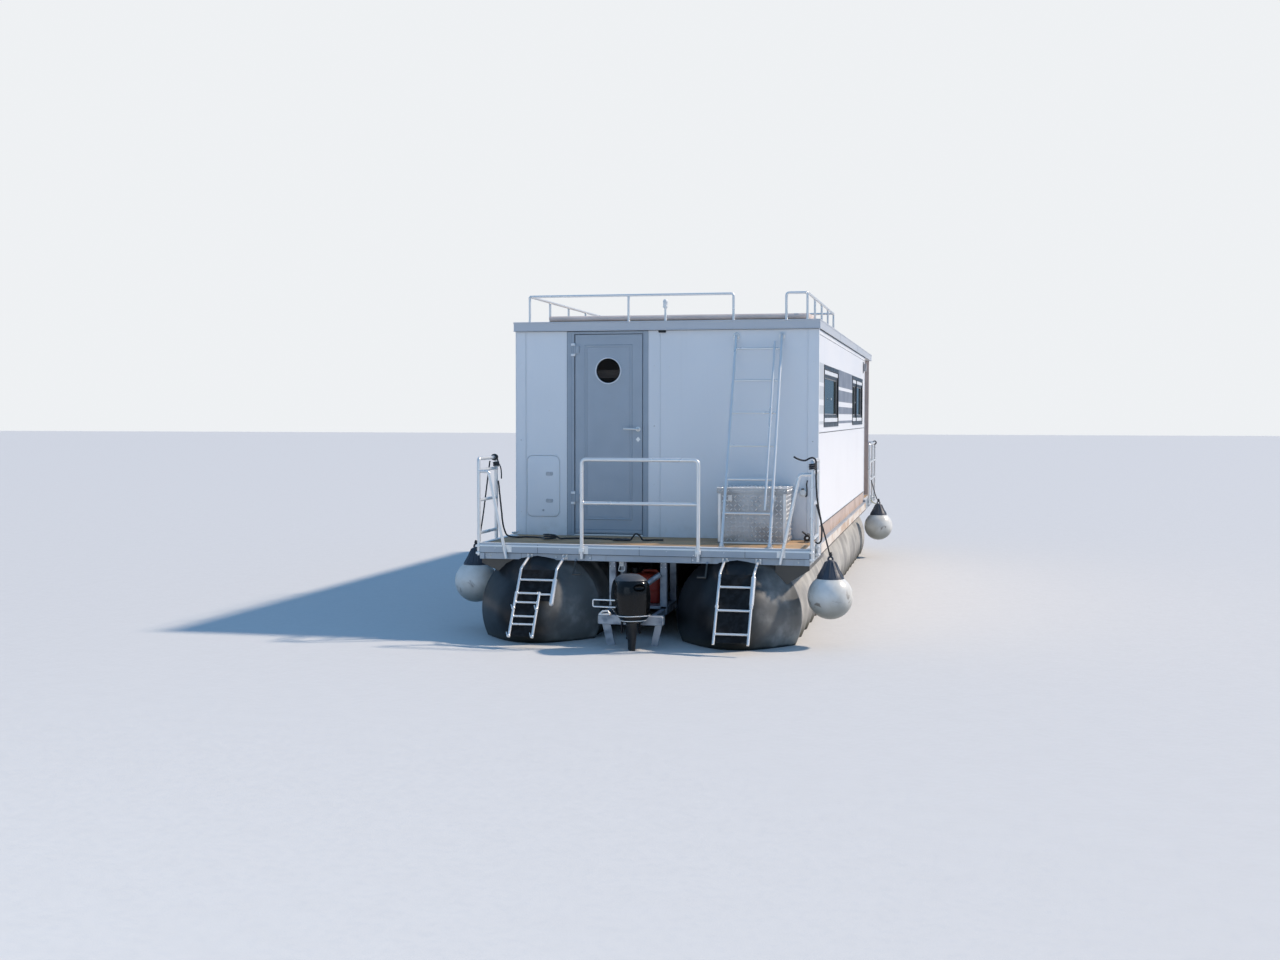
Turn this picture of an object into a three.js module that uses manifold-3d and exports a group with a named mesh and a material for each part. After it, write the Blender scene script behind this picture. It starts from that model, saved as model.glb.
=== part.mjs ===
// Pontoon houseboat, millimetres, +Z up, bow towards +Y, starboard towards +X.
// The origin is amidships on the waterline. Lengthwise places are measured from the
// aft edge of the deck and shifted by STERN.
import * as THREE from "three";
import { mergeVertices } from "three/addons/utils/BufferGeometryUtils.js";
import Module from "manifold-3d";

const wasm = await Module();
wasm.setup();

// Driving dimensions
const GAP = 0.3;
const DECK_LENGTH = 10500;
const HALF_BEAM = 1575;
const RUBBING = 30;
const DECK_TOP = 910;
const STERN = -DECK_LENGTH / 2;
const OUTER = HALF_BEAM + RUBBING;

// Pontoons
const PONTOON_X = { port: -1025, starboard: 925 };
const PONTOON_Z = 262;
const PONTOON_R = 600;
const RIB_DEPTH = 24;
const RIB_PITCH = 520;
const RIB_WIDTH = 150;
const RIBS = 18;
const FIRST_RIB = 595;
const NOSE_START = 120;
const BOW_CONE = 9900;
const PONTOON_SIDES = 20;

// Platform
const FRAME_BOTTOM = 760;
const FRAME_TOP = 882;
const FASCIA_STEP = 820;
const LIP_TOP = 913;

// Cabin
const CABIN_AFT = 1110;
const CABIN_FORE = 8400;
const WALL = 50;
const SILL_TOP = 1040;
const ROOF_BOTTOM = 3030;
const ROOF_TOP = 3120;
const ROOF_AFT = 1080;
const ROOF_FORE = 9900;
const ROOF_HALF = 1590;
const ROOF_DECK = { half: 1400, aft: 1800, fore: 4280, top: 3225 };

// Windows: each row is aft end, fore end and the places of its mullions
const WINDOWS = { aft: [1700, 3550, []], fore: [5860, 7900, [6640]] };
const WINDOW_BOTTOM = 2040;
const WINDOW_TOP = 2690;
const WINDOW_BAR = 45;
const PANE = 6;

// Stern door and locker hatch in the aft wall
const DOOR = { left: -938, right: -225, bottom: 936, top: 2991, thick: 40 };
const PORTHOLE = { x: -585, z: 2618, r: 126 };
const HATCH = { left: -1456, right: -1105, bottom: 1104, top: 1738, thick: 30, corner: 60 };
const CLEAR = 7;

// Bow doors
const BOW_DOOR = { half: 750, bottom: 936, top: 2950, thick: 40, bar: 85 };

// Rails
const TUBE = 18;
const ROOF_TUBE = 13;
const ROOF_RAIL_Z = 3395;
const ROOF_RAIL_X = 1450;
const ROOF_RAIL_AFT = 1200;
const ROOF_RAIL_BAY = 780;
const ROOF_GATE = { port: 700, starboard: 1238 };
const RAIL_TOP = 1736;
const RAIL_MID = 1320;
const BOW_RAIL_TOP = 1730;

// Outboard motor
const MOTOR_X = -20;
const BEAM = { aft: -325, fore: -240, bottom: 205, top: 288 };
const TILT = { y: -262, z: 326 };
const STEER_Y = -420;
const SHAFT_Z = -385;
const STEER_REST = 28;

const TO_RAD = Math.PI / 180;
const boat = new THREE.Group();
const at = (y) => y + STERN;

// Solids
function solidOf(geometry) {
  const bare = geometry.clone();
  bare.deleteAttribute("normal");
  bare.deleteAttribute("uv");
  const merged = mergeVertices(bare, 1e-3);
  const source = merged.index.array;
  const kept = [];
  for (let i = 0; i < source.length; i += 3) {
    const [a, b, c] = [source[i], source[i + 1], source[i + 2]];
    if (a !== b && b !== c && c !== a) kept.push(a, b, c);
  }
  const vertProperties = Float32Array.from(merged.attributes.position.array);
  const triVerts = Uint32Array.from(kept);
  return new wasm.Manifold(new wasm.Mesh({ numProp: 3, vertProperties, triVerts }));
}

function geometryOf(solid) {
  const mesh = solid.getMesh();
  const geometry = new THREE.BufferGeometry();
  const places = Float32Array.from(mesh.vertProperties);
  geometry.setAttribute("position", new THREE.BufferAttribute(places, 3));
  geometry.setIndex(Array.from(mesh.triVerts));
  geometry.computeVertexNormals();
  return geometry;
}

const join = (solids) => solids.reduce((sum, next) => sum.add(next));
const cut = (solid, tools) => tools.reduce((rest, tool) => rest.subtract(tool), solid);

function box(x0, x1, y0, y1, z0, z1) {
  const geometry = new THREE.BoxGeometry(x1 - x0, y1 - y0, z1 - z0);
  geometry.translate((x0 + x1) / 2, (y0 + y1) / 2, (z0 + z1) / 2);
  return solidOf(geometry);
}

function bar(from, to, radius, sides = 8, endRadius = radius) {
  const a = new THREE.Vector3(...from);
  const b = new THREE.Vector3(...to);
  const way = b.clone().sub(a);
  const up = new THREE.Vector3(0, 1, 0);
  const geometry = new THREE.CylinderGeometry(endRadius, radius, way.length(), sides);
  geometry.applyQuaternion(new THREE.Quaternion().setFromUnitVectors(up, way.normalize()));
  const middle = a.add(b).multiplyScalar(0.5);
  geometry.translate(middle.x, middle.y, middle.z);
  return solidOf(geometry);
}

function ball(centre, radius, sides = 8) {
  const geometry = new THREE.SphereGeometry(radius, sides, sides / 2);
  geometry.translate(...centre);
  return solidOf(geometry);
}

// A bent tube: straight runs with a ball at each bend
function tube(points, radius, sides = 8) {
  const runs = [];
  for (let i = 1; i < points.length; i += 1) {
    runs.push(bar(points[i - 1], points[i], radius, sides));
    if (i < points.length - 1) runs.push(ball(points[i], radius, sides));
  }
  return join(runs);
}

// A shape drawn in X and Z, as thick as given along Y, from the face at y
function plate(shape, y, thick) {
  const settings = { depth: thick, bevelEnabled: false, curveSegments: 3 };
  const geometry = new THREE.ExtrudeGeometry(shape, settings);
  geometry.rotateX(Math.PI / 2);
  geometry.translate(0, y + thick, 0);
  return solidOf(geometry);
}

function outline(points) {
  return new THREE.Shape(points.map(([u, v]) => new THREE.Vector2(u, v)));
}

function roundedOutline(x0, x1, z0, z1, r) {
  const shape = new THREE.Shape();
  shape.moveTo(x0 + r, z0);
  shape.lineTo(x1 - r, z0);
  shape.absarc(x1 - r, z0 + r, r, -Math.PI / 2, 0);
  shape.lineTo(x1, z1 - r);
  shape.absarc(x1 - r, z1 - r, r, 0, Math.PI / 2);
  shape.lineTo(x0 + r, z1);
  shape.absarc(x0 + r, z1 - r, r, Math.PI / 2, Math.PI);
  shape.lineTo(x0, z0 + r);
  shape.absarc(x0 + r, z0 + r, r, Math.PI, Math.PI * 1.5);
  return shape;
}

function place(name, solid, colour, roughness, metalness = 0, parent = boat) {
  const material = new THREE.MeshStandardMaterial({ color: colour, roughness, metalness });
  const mesh = new THREE.Mesh(geometryOf(solid), material);
  mesh.name = name;
  parent.add(mesh);
  return mesh;
}

const WHITE = [0xe8ebee, 0.45];
const STEEL = [0xc8ccd0, 0.25, 0.9];
const ALUMINIUM = [0xb4bac0, 0.4, 0.8];
const WOOD = [0xb98a4e, 0.7];
const CHARCOAL = [0x3a3e42, 0.6];
const FRAME_BLACK = [0x1d1f22, 0.4];
const GLASS = [0x2c3a40, 0.08];
const MOTOR_BLACK = [0x17191c, 0.3];

// Pontoons: nose and bow cone as radius and place along the boat
const NOSE = [[0, -405], [110, -393], [210, -352], [300, -282], [400, -165], [500, -30]];
const BOW = [[470, 10370], [300, 10690], [130, 10860], [0, 10900]];

function pontoonSolid(side, profile) {
  const points = profile.map(([r, y]) => new THREE.Vector2(r, at(y)));
  const geometry = new THREE.LatheGeometry(points, PONTOON_SIDES);
  geometry.translate(side < 0 ? PONTOON_X.port : PONTOON_X.starboard, 0, PONTOON_Z);
  return solidOf(geometry);
}

function pontoon(side) {
  const base = PONTOON_R - RIB_DEPTH;
  const profile = [...NOSE, [PONTOON_R, NOSE_START], [PONTOON_R, NOSE_START + 50]];
  const groove = [[base - 20, 65], [base - 20, 110], [base, 120]];
  for (const [r, y] of groove) profile.push([r, NOSE_START + y]);
  for (let i = 0; i < RIBS; i += 1) {
    const start = FIRST_RIB + i * RIB_PITCH;
    profile.push([base, start], [PONTOON_R, start + RIB_WIDTH / 2], [base, start + RIB_WIDTH]);
  }
  profile.push([base, BOW_CONE], ...BOW);
  return pontoonSolid(side, profile);
}

// The room that a pontoon takes in what lies on it
function pontoonRoom(side, clear) {
  const nose = NOSE.map(([r, y], i) => [i ? r + clear : 0, y - clear]);
  const radius = PONTOON_R + clear;
  const profile = [...nose, [radius, NOSE_START - clear], [radius, BOW_CONE + clear]];
  profile.push(...BOW.map(([r, y]) => [r ? r + clear * 2 : 0, y + clear]));
  return pontoonSolid(side, profile);
}

// Platform
function gusset(side) {
  const deep = side > 0 ? 587 : 616;
  const corner = [1370 + (616 - deep), deep];
  const points = [[1280, 800], [OUTER - 5, 800], [OUTER - 5, 715], corner, [1280, deep]];
  const shape = outline(side > 0 ? points : points.map(([x, z]) => [-x, z]).reverse());
  return plate(shape, at(50), 1450);
}

function strap(side) {
  const top = [side * 640, at(12), 775];
  const foot = [side * 640, at(-92), 640];
  return join([bar(top, foot, 9, 6), bar([side * 648, at(-92), 640], [side * 560, at(-92), 640], 9, 6)]);
}

function deckFrame() {
  const end = DECK_LENGTH;
  const solids = [
    box(-HALF_BEAM, HALF_BEAM, at(20), at(end - 20), FRAME_BOTTOM, FRAME_TOP),
    box(-OUTER, OUTER, at(0), at(40), FASCIA_STEP, LIP_TOP),
    box(-OUTER, OUTER, at(end - 40), at(end), FASCIA_STEP, LIP_TOP),
    box(-OUTER + 12, OUTER - 12, at(18), at(60), FRAME_BOTTOM, FASCIA_STEP),
    box(-OUTER + 12, OUTER - 12, at(end - 60), at(end - 18), FRAME_BOTTOM, FASCIA_STEP),
  ];
  for (const side of [-1, 1]) {
    const [inner, outer] = [side * (HALF_BEAM - 15), side * OUTER].sort((a, b) => a - b);
    solids.push(box(inner, outer, at(0), at(end), FRAME_BOTTOM, FRAME_TOP - 2));
    solids.push(box(inner, outer, at(0), at(CABIN_AFT - 12), FRAME_TOP - 10, LIP_TOP));
    solids.push(box(inner, outer, at(CABIN_AFT - 14), at(CABIN_AFT + WALL), FRAME_TOP - 10, DECK_TOP));
    solids.push(box(inner, outer, at(CABIN_FORE - WALL), at(CABIN_FORE + 2), FRAME_TOP - 10, DECK_TOP));
    solids.push(box(inner, outer, at(CABIN_FORE + 1), at(end), FRAME_TOP - 10, LIP_TOP));
    solids.push(gusset(side));
  }
  const frame = cut(join(solids), [pontoonRoom(-1, 3), pontoonRoom(1, 3)]);
  return join([frame, strap(-1), strap(1)]);
}

// Planks across the deck with a groove between them
function planks(y0, y1, count) {
  const groove = 6;
  const width = (y1 - y0) / count;
  const bottom = FRAME_TOP + GAP;
  const points = [[y0, bottom], [y1, bottom]];
  for (let i = count; i > 0; i -= 1) {
    const [high, low] = [y0 + i * width, y0 + (i - 1) * width];
    points.push([high, DECK_TOP], [low + (i > 1 ? groove : 0), DECK_TOP]);
    if (i > 1) points.push([low + groove, DECK_TOP - groove], [low, DECK_TOP - groove]);
  }
  const half = HALF_BEAM - 15 - GAP;
  const geometry = new THREE.ExtrudeGeometry(outline(points), { depth: half * 2, bevelEnabled: false });
  geometry.rotateX(Math.PI / 2);
  geometry.rotateZ(Math.PI / 2);
  geometry.translate(-half, STERN, 0);
  return solidOf(geometry);
}

// Walls
const wallBottom = DECK_TOP + GAP;
const wallTop = ROOF_BOTTOM - GAP;

function knuckles(x, y, z, onLeaf) {
  const [r, leaf, stub] = [9, 80, 24];
  if (onLeaf) return [bar([x, y, z - leaf / 2], [x, y, z + leaf / 2], r)];
  return [-1, 1].map((way) => {
    const near = z + way * (leaf / 2 + 1);
    return bar([x, y, near], [x, y, near + way * stub], r);
  });
}

const DOOR_HINGES = [1304, 2836];
const doorAxis = { x: DOOR.left - 2, y: at(CABIN_AFT - 16) };

function sternWall() {
  const face = at(CABIN_AFT);
  const solids = [
    box(-HALF_BEAM, HALF_BEAM, face, face + WALL, wallBottom, wallTop),
    box(-HALF_BEAM, -HALF_BEAM + 105, face - 4, face + 5, wallBottom, wallTop),
    box(HALF_BEAM - 105, HALF_BEAM, face - 4, face + 5, wallBottom, wallTop),
    box(DOOR.left - 46, DOOR.right + 51, face - 6, face + 5, wallBottom, DOOR.top + 30),
    box(-163, -38, face - 4, face + 5, wallBottom, wallTop),
  ];
  const opening = box(DOOR.left - CLEAR, DOOR.right + CLEAR, face - 20, face + WALL + 10,
    DOOR.bottom - CLEAR, DOOR.top + CLEAR);
  const hatchShape = roundedOutline(HATCH.left - CLEAR, HATCH.right + CLEAR, HATCH.bottom - CLEAR,
    HATCH.top + CLEAR, HATCH.corner + CLEAR);
  const wall = cut(join(solids), [opening, plate(hatchShape, face - 10, WALL + 20)]);
  const lugs = [];
  for (const z of DOOR_HINGES) {
    lugs.push(...knuckles(doorAxis.x, doorAxis.y, z, false));
    for (const way of [-1, 1]) {
      const [low, high] = [z + way * 41, z + way * 65].sort((a, b) => a - b);
      lugs.push(box(DOOR.left - 40, doorAxis.x, doorAxis.y - 2, face + 5, low, high));
    }
  }
  return join([wall, ...lugs]);
}

// A side wall between the end walls, standing on its sill, with a shallow groove under the windows
function sideWall(side) {
  const [x0, x1] = [side * (HALF_BEAM - WALL), side * HALF_BEAM].sort((a, b) => a - b);
  const [y0, y1] = [at(CABIN_AFT + WALL) + GAP, at(CABIN_FORE - WALL) - GAP];
  const openings = Object.values(WINDOWS).map(([aft, fore]) => (
    box(x0 - 10, x1 + 10, at(aft) - GAP, at(fore) + GAP, WINDOW_BOTTOM - GAP, WINDOW_TOP + GAP)));
  const [g0, g1] = [side * (HALF_BEAM - 3), side * (HALF_BEAM + 5)].sort((a, b) => a - b);
  openings.push(box(g0, g1, y0 - 10, y1 + 10, 1980, 1988));
  return cut(box(x0, x1, y0, y1, SILL_TOP + GAP, wallTop), openings);
}

function sill(side) {
  const [x0, x1] = [side * (HALF_BEAM - WALL), side * (HALF_BEAM - 5)].sort((a, b) => a - b);
  return box(x0, x1, at(CABIN_AFT + WALL) + GAP, at(CABIN_FORE - WALL) - GAP, FRAME_TOP + GAP, SILL_TOP);
}

const BOW_HINGES = [1250, 2640];

function bowWall() {
  const face = at(CABIN_FORE);
  const wall = box(-HALF_BEAM, HALF_BEAM, face - WALL, face, wallBottom, wallTop);
  const opening = box(-BOW_DOOR.half - CLEAR, BOW_DOOR.half + CLEAR, face - WALL - 10, face + 10,
    BOW_DOOR.bottom - CLEAR, BOW_DOOR.top + CLEAR);
  const lugs = [];
  for (const side of [-1, 1]) {
    for (const z of BOW_HINGES) {
      lugs.push(...knuckles(side * (BOW_DOOR.half + 2), face + 12, z, false));
      for (const way of [-1, 1]) {
        const [low, high] = [z + way * 41, z + way * 65].sort((a, b) => a - b);
        const [x0, x1] = [side * (BOW_DOOR.half + 2), side * (BOW_DOOR.half + 40)].sort((a, b) => a - b);
        lugs.push(box(x0, x1, face - 5, face + 14, low, high));
      }
    }
  }
  return join([cut(wall, [opening]), ...lugs]);
}

// Windows
function windowFrame(side, [aft, fore, mullions]) {
  const [x0, x1] = [side * (HALF_BEAM - WALL - 3), side * (HALF_BEAM + 6)].sort((a, b) => a - b);
  const whole = box(x0, x1, at(aft), at(fore), WINDOW_BOTTOM, WINDOW_TOP);
  const light = box(x0 - 10, x1 + 10, at(aft + WINDOW_BAR), at(fore - WINDOW_BAR),
    WINDOW_BOTTOM + WINDOW_BAR, WINDOW_TOP - WINDOW_BAR);
  const solids = [cut(whole, [light])];
  const [m0, m1] = [side * (HALF_BEAM - 18), side * (HALF_BEAM + 6)].sort((a, b) => a - b);
  for (const mullion of mullions) {
    solids.push(box(m0, m1, at(mullion - 22), at(mullion + 22), WINDOW_BOTTOM + 5, WINDOW_TOP - 5));
  }
  return join(solids);
}

function windowPane(side, [aft, fore]) {
  const middle = HALF_BEAM - 22;
  const [x0, x1] = [side * (middle - PANE), side * middle].sort((a, b) => a - b);
  const inset = WINDOW_BAR + GAP;
  return box(x0, x1, at(aft + inset), at(fore - inset), WINDOW_BOTTOM + inset, WINDOW_TOP - inset);
}

// Stern door
function sternDoor() {
  const face = at(CABIN_AFT - 2);
  const leaf = box(DOOR.left, DOOR.right, face, face + DOOR.thick, DOOR.bottom, DOOR.top);
  const mould = (inset) => (
    box(-836 + inset, -332 - inset, face - 5, face + 5, 1080 + inset, 2883 - inset));
  const bead = cut(mould(0), [mould(16)]);
  const { x, z, r } = PORTHOLE;
  const round = (aft, fore, radius) => bar([x, aft, z], [x, fore, z], radius, 20);
  const rim = round(face - 12, face + 4, r + 22);
  const hole = round(face - 20, face + DOOR.thick + 20, r);
  const solids = [cut(join([leaf, bead, rim]), [hole])];
  for (const [out, inner] of [[face, -1], [face + DOOR.thick, 1]]) {
    const [low, high] = [out + inner * 8, out - inner * 2].sort((a, b) => a - b);
    solids.push(box(-286, -252, low, high, 1900, 2060));
    const grip = out + inner * 48;
    solids.push(tube([[-269, out, 2018], [-269, grip, 2018], [-415, grip, 2022]], 10));
  }
  for (const height of DOOR_HINGES) {
    solids.push(...knuckles(doorAxis.x, doorAxis.y, height, true));
    solids.push(box(doorAxis.x, DOOR.left + 45, doorAxis.y - 2, face + 4, height - 38, height + 38));
  }
  return join(solids);
}

function portholeGlass() {
  const { x, z, r } = PORTHOLE;
  const middle = at(CABIN_AFT) + DOOR.thick / 2;
  return bar([x, middle - 3, z], [x, middle + 3, z], r - 1, 20);
}

function lockerHatch() {
  const face = at(CABIN_AFT - 5);
  const shape = roundedOutline(HATCH.left, HATCH.right, HATCH.bottom, HATCH.top, HATCH.corner);
  const leaf = plate(shape, face, HATCH.thick);
  const latches = [1270, 1551].map((z) => box(-1252, -1175, face - 7, face + 3, z - 22, z + 22));
  const lock = bar([-1280, face - 6, 1170], [-1280, face + 3, 1170], 12);
  return join([leaf, ...latches, lock]);
}

// Bow doors: a glazed leaf each side, hinged at the outer edge
function bowLeaf(side) {
  const face = at(CABIN_FORE + 2);
  const [x0, x1] = [side * BOW_DOOR.half, side * 4].sort((a, b) => a - b);
  const { bar: width, bottom, top, thick } = BOW_DOOR;
  const leaf = box(x0, x1, face - thick, face, bottom, top);
  const light = box(x0 + width, x1 - width, face - thick - 10, face + 10, bottom + 160, top - width);
  const solids = [cut(leaf, [light])];
  for (const z of BOW_HINGES) {
    solids.push(...knuckles(side * (BOW_DOOR.half + 2), at(CABIN_FORE) + 12, z, true));
    const [h0, h1] = [side * (BOW_DOOR.half + 2), side * (BOW_DOOR.half - 45)].sort((a, b) => a - b);
    solids.push(box(h0, h1, face - 4, face + 12, z - 38, z + 38));
  }
  const grip = [[face - 4, 1900], [face + 50, 1900], [face + 50, 2100], [face - 4, 2100]];
  solids.push(tube(grip.map(([y, z]) => [side * 48, y, z]), 9));
  return join(solids);
}

function bowPane(side) {
  const face = at(CABIN_FORE + 2) - BOW_DOOR.thick / 2;
  const [x0, x1] = [side * BOW_DOOR.half, side * 4].sort((a, b) => a - b);
  const inset = BOW_DOOR.bar + GAP;
  return box(x0 + inset, x1 - inset, face - PANE / 2, face + PANE / 2, BOW_DOOR.bottom + 160 + GAP,
    BOW_DOOR.top - inset);
}

// Rails
function roofPosts(points) {
  const foot = ROOF_TOP + GAP;
  return points.flatMap(([x, y]) => [
    bar([x, at(y), foot], [x, at(y), ROOF_RAIL_Z], ROOF_TUBE - 1, 6),
    bar([x, at(y), foot], [x, at(y), foot + 7], 30),
  ]);
}

// One rail round the roof terrace, open at the stern where the ladder comes up
function roofRail() {
  const [x, y, z] = [ROOF_RAIL_X, ROOF_RAIL_AFT, ROOF_RAIL_Z];
  const fore = y + 4 * ROOF_RAIL_BAY;
  const posts = [[ROOF_GATE.port, y], [-392, y], [ROOF_GATE.starboard, y], [-480, fore], [480, fore]];
  for (let i = 0; i <= 4; i += 1) posts.push([-x, y + i * ROOF_RAIL_BAY], [x, y + i * ROOF_RAIL_BAY]);
  const run = [[ROOF_GATE.port, y], [-x, y], [-x, fore], [x, fore], [x, y], [ROOF_GATE.starboard, y]];
  const ends = [run[0], run[run.length - 1]].map(([ex, ey]) => ball([ex, at(ey), z], ROOF_TUBE));
  return join([tube(run.map(([rx, ry]) => [rx, at(ry), z]), ROOF_TUBE), ...ends, ...roofPosts(posts)]);
}

function sternRail() {
  const y = at(0) - TUBE - GAP;
  const [port, starboard, foot, round] = [-576, 557, 800, 45];
  const loop = [[port, y, foot], [port, y, RAIL_TOP - round], [port + round, y, RAIL_TOP],
    [starboard - round, y, RAIL_TOP], [starboard, y, RAIL_TOP - round], [starboard, y, foot]];
  return join([tube(loop, TUBE), bar([port, y, RAIL_MID], [starboard, y, RAIL_MID], TUBE - 2)]);
}

// A quarter rail: a ladder-shaped frame on the deck's side with a slanting leg on its aft face
function quarterRail(side) {
  const x = side * (OUTER + TUBE + GAP);
  const [aft, fore] = [at(30), at(575)];
  const back = at(0) - TUBE - GAP;
  const foot = [side * 1330, back, 800];
  const solids = [tube([[x, aft, 790], [x, aft, RAIL_TOP], [x, fore, RAIL_TOP], [x, fore, 790]], TUBE)];
  for (const z of [1625, 1330, 1007]) solids.push(bar([x, aft, z], [x, fore, z], TUBE - 3, 6));
  solids.push(tube([[x, aft, 1612], [side * 1508, back, 1612], foot], TUBE - 2));
  solids.push(bar(foot, [foot[0], back, 770], TUBE - 2));
  return join(solids);
}

// A rail round each bow corner, its posts on the outside of the deck's edge
function bowRail(side) {
  const x = side * (OUTER + TUBE + GAP);
  const [aft, fore, front] = [at(8950), at(DECK_LENGTH) + TUBE + GAP, side * 560];
  const [foot, top] = [790, BOW_RAIL_TOP];
  const level = (z) => [[x, aft, z], [x, fore, z], [front, fore, z]];
  const solids = [tube([[x, aft, foot], ...level(top), [front, fore, foot]], TUBE)];
  for (const z of [1180, 1450]) solids.push(tube(level(z), TUBE - 4, 6));
  const posts = [[x, at(9720)], [x, at(DECK_LENGTH - 70)], [side * 1510, fore], [side * 1080, fore]];
  for (const [px, py] of posts) solids.push(bar([px, py, foot], [px, py, top], TUBE - 2));
  return join(solids);
}

function terracePost(side) {
  const [x0, x1] = [side * 1490, side * 1555].sort((a, b) => a - b);
  return box(x0, x1, at(9790), at(9855), DECK_TOP + GAP, ROOF_BOTTOM - GAP);
}

// Roof ladder leaning on the aft wall, with a second grab tube beside its starboard stile
function roofLadder() {
  const foot = { y: at(190), z: LIP_TOP + GAP + 5 };
  const head = { y: at(1065), z: 2930 };
  const [deep, high] = [head.y - foot.y, head.z - foot.z];
  const [left, right, grab] = [747, 1208, 1143];
  const along = (x, t, out = 0) => [x, foot.y + deep * t - out, foot.z + high * t];
  const [wall, hold] = [at(CABIN_AFT) - GAP, head.z + 32];
  const solids = [];
  for (const x of [left, right]) {
    solids.push(tube([along(x, 0), along(x, 1), [x, head.y + 25, hold], [x, wall, hold]], TUBE - 3));
    solids.push(bar([x, wall - 8, hold], [x, wall, hold], 34, 10));
    solids.push(bar([x, foot.y, DECK_TOP + GAP], [x, foot.y, DECK_TOP + 30], 20));
  }
  for (let i = 0; i < 6; i += 1) {
    const t = 0.15 + 0.16 * i;
    solids.push(bar(along(left, t), along(right, t), 11, 6));
  }
  solids.push(bar(along(grab, 0.17, 18), along(grab, 0.985, 18), 11));
  return join(solids);
}

// Deck box with a lid hinged on its wall side
const BOX = { left: 655, right: 1320, aft: 540, fore: 1070, top: 1425, wall: 12 };

function deckBox() {
  const { left, right, aft, fore, top, wall } = BOX;
  const floor = DECK_TOP + GAP;
  const outer = box(left, right, at(aft), at(fore), floor, top);
  const inside = [left + wall, right - wall, at(aft + wall), at(fore - wall), floor + wall, top + 10];
  return cut(outer, [box(...inside)]);
}

function boxLid() {
  const { left, right, aft, fore, top } = BOX;
  const lid = box(left - 12, right + 12, at(aft - 12), at(fore + 2), top - 22, top + 30);
  const inside = box(left - 6, right + 6, at(aft - 6), at(fore + 10), top - 30, top + 6);
  return cut(lid, [inside]);
}

// Swim ladders in front of the pontoon noses: stiles run down and aft, the folded section hangs on them
function swimLadder([left, right], folded) {
  const top = { y: at(-280), z: 705 };
  const end = { y: at(-680), z: 85 };
  const along = (x, t, out = 0) => [x, top.y + (end.y - top.y) * t - out, top.z + (end.z - top.z) * t];
  const reach = folded ? 0.49 : 0.97;
  const fascia = box(-HALF_BEAM, HALF_BEAM, at(18) - GAP, at(100), 700, 900);
  const stile = (x) => tube([[x, at(30), 808], along(x, 0), along(x, reach)], 13);
  const solids = [left, right].map((x) => cut(stile(x), [fascia]));
  for (const t of folded ? [0.16] : [0.19, 0.51, 0.83]) {
    solids.push(bar(along(left, t), along(right, t), 11, 6));
  }
  if (folded) {
    const [inner, out] = [[left, left + 225], 22];
    for (const x of inner) solids.push(bar(along(x, 0.33, out), along(x, 0.96, out), 13));
    for (const t of [0.347, 0.476, 0.67, 0.78]) {
      solids.push(bar(along(inner[0], t, out), along(inner[1], t, out), 10, 6));
    }
    solids.push(bar(along(right, 0.36), along(inner[1], 0.36, out), 10, 6));
  }
  const handle = folded ? [0.16, reach] : [0.06, 0.42];
  solids.push(bar(along(right, handle[0]), along(right, handle[1]), 22));
  for (const t of handle) solids.push(ball(along(right, t), 22));
  return join(solids);
}

// Motor frame: two posts under the deck, arms aft to the clamp beam, slanting struts and a tank shelf
function motorFrame() {
  const { aft, fore, bottom, top } = BEAM;
  const under = FRAME_BOTTOM - GAP;
  const solids = [box(-336, 278, at(aft), at(fore), bottom, top)];
  solids.push(box(-345, 222, at(170), at(720), 296, 322));
  for (const x of [-317, 187]) {
    solids.push(box(x - 33, x + 33, at(170), at(236), 240, under));
    solids.push(box(x - 24, x + 24, at(fore - 10), at(700), 236, 300));
    solids.push(box(x - 33, x + 33, at(654), at(720), 240, under));
  }
  const y = at(fore + 8);
  for (const [high, low, half] of [[-290, -222, 40], [232, 165, 34]]) {
    const strut = [[high - half, 240], [low - half, -60], [low + half, -60], [high + half, 240]];
    solids.push(plate(outline(strut), y, 24));
  }
  solids.push(bar([-222, y + 12, -45], [165, y + 12, -45], 22, 6));
  return join(solids);
}

function fuelTank() {
  const [x0, x1, y0, y1, z0] = [-245, 118, at(370), at(640), 322 + GAP];
  const tank = box(x0, x1, y0, y1, z0, z0 + 270);
  const shoulder = box(x0 + 30, x1 - 30, y0 + 30, y1 - 30, z0 + 260, z0 + 310);
  const cap = bar([x0 + 90, y0 + 90, z0 + 300], [x0 + 90, y0 + 90, z0 + 345], 38, 10);
  return join([tank, shoulder, cap]);
}

// Lights
function navLight() {
  const [x, y, foot] = [-24, at(1300), ROOF_TOP + GAP];
  return join([
    bar([x, y, foot], [x, y, foot + 8], 38, 10),
    bar([x, y, foot], [x, y, foot + 150], 11),
    bar([x, y, foot + 145], [x, y, foot + 215], 27, 10),
    ball([x, y, foot + 215], 27),
  ]);
}

// Fender with its cone, eye and taut lanyard up to a rail
function fender([x, y, z], lanyard) {
  const centre = [x, at(y), z];
  const cone = bar([x, at(y), z + 168], [x, at(y), z + 345], 118, 12, 34);
  const eye = bar([x, at(y), z + 340], [x, at(y), z + 372], 24);
  const line = tube([[x, at(y), z + 365], ...lanyard.map(([lx, ly, lz]) => [lx, at(ly), lz])], 8, 6);
  return join([ball(centre, 212, 12), cone, eye, line]);
}

// Free ropes: a round section swept along a smooth curve through hand-set points
const ROPE_SIDES = 8;

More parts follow.
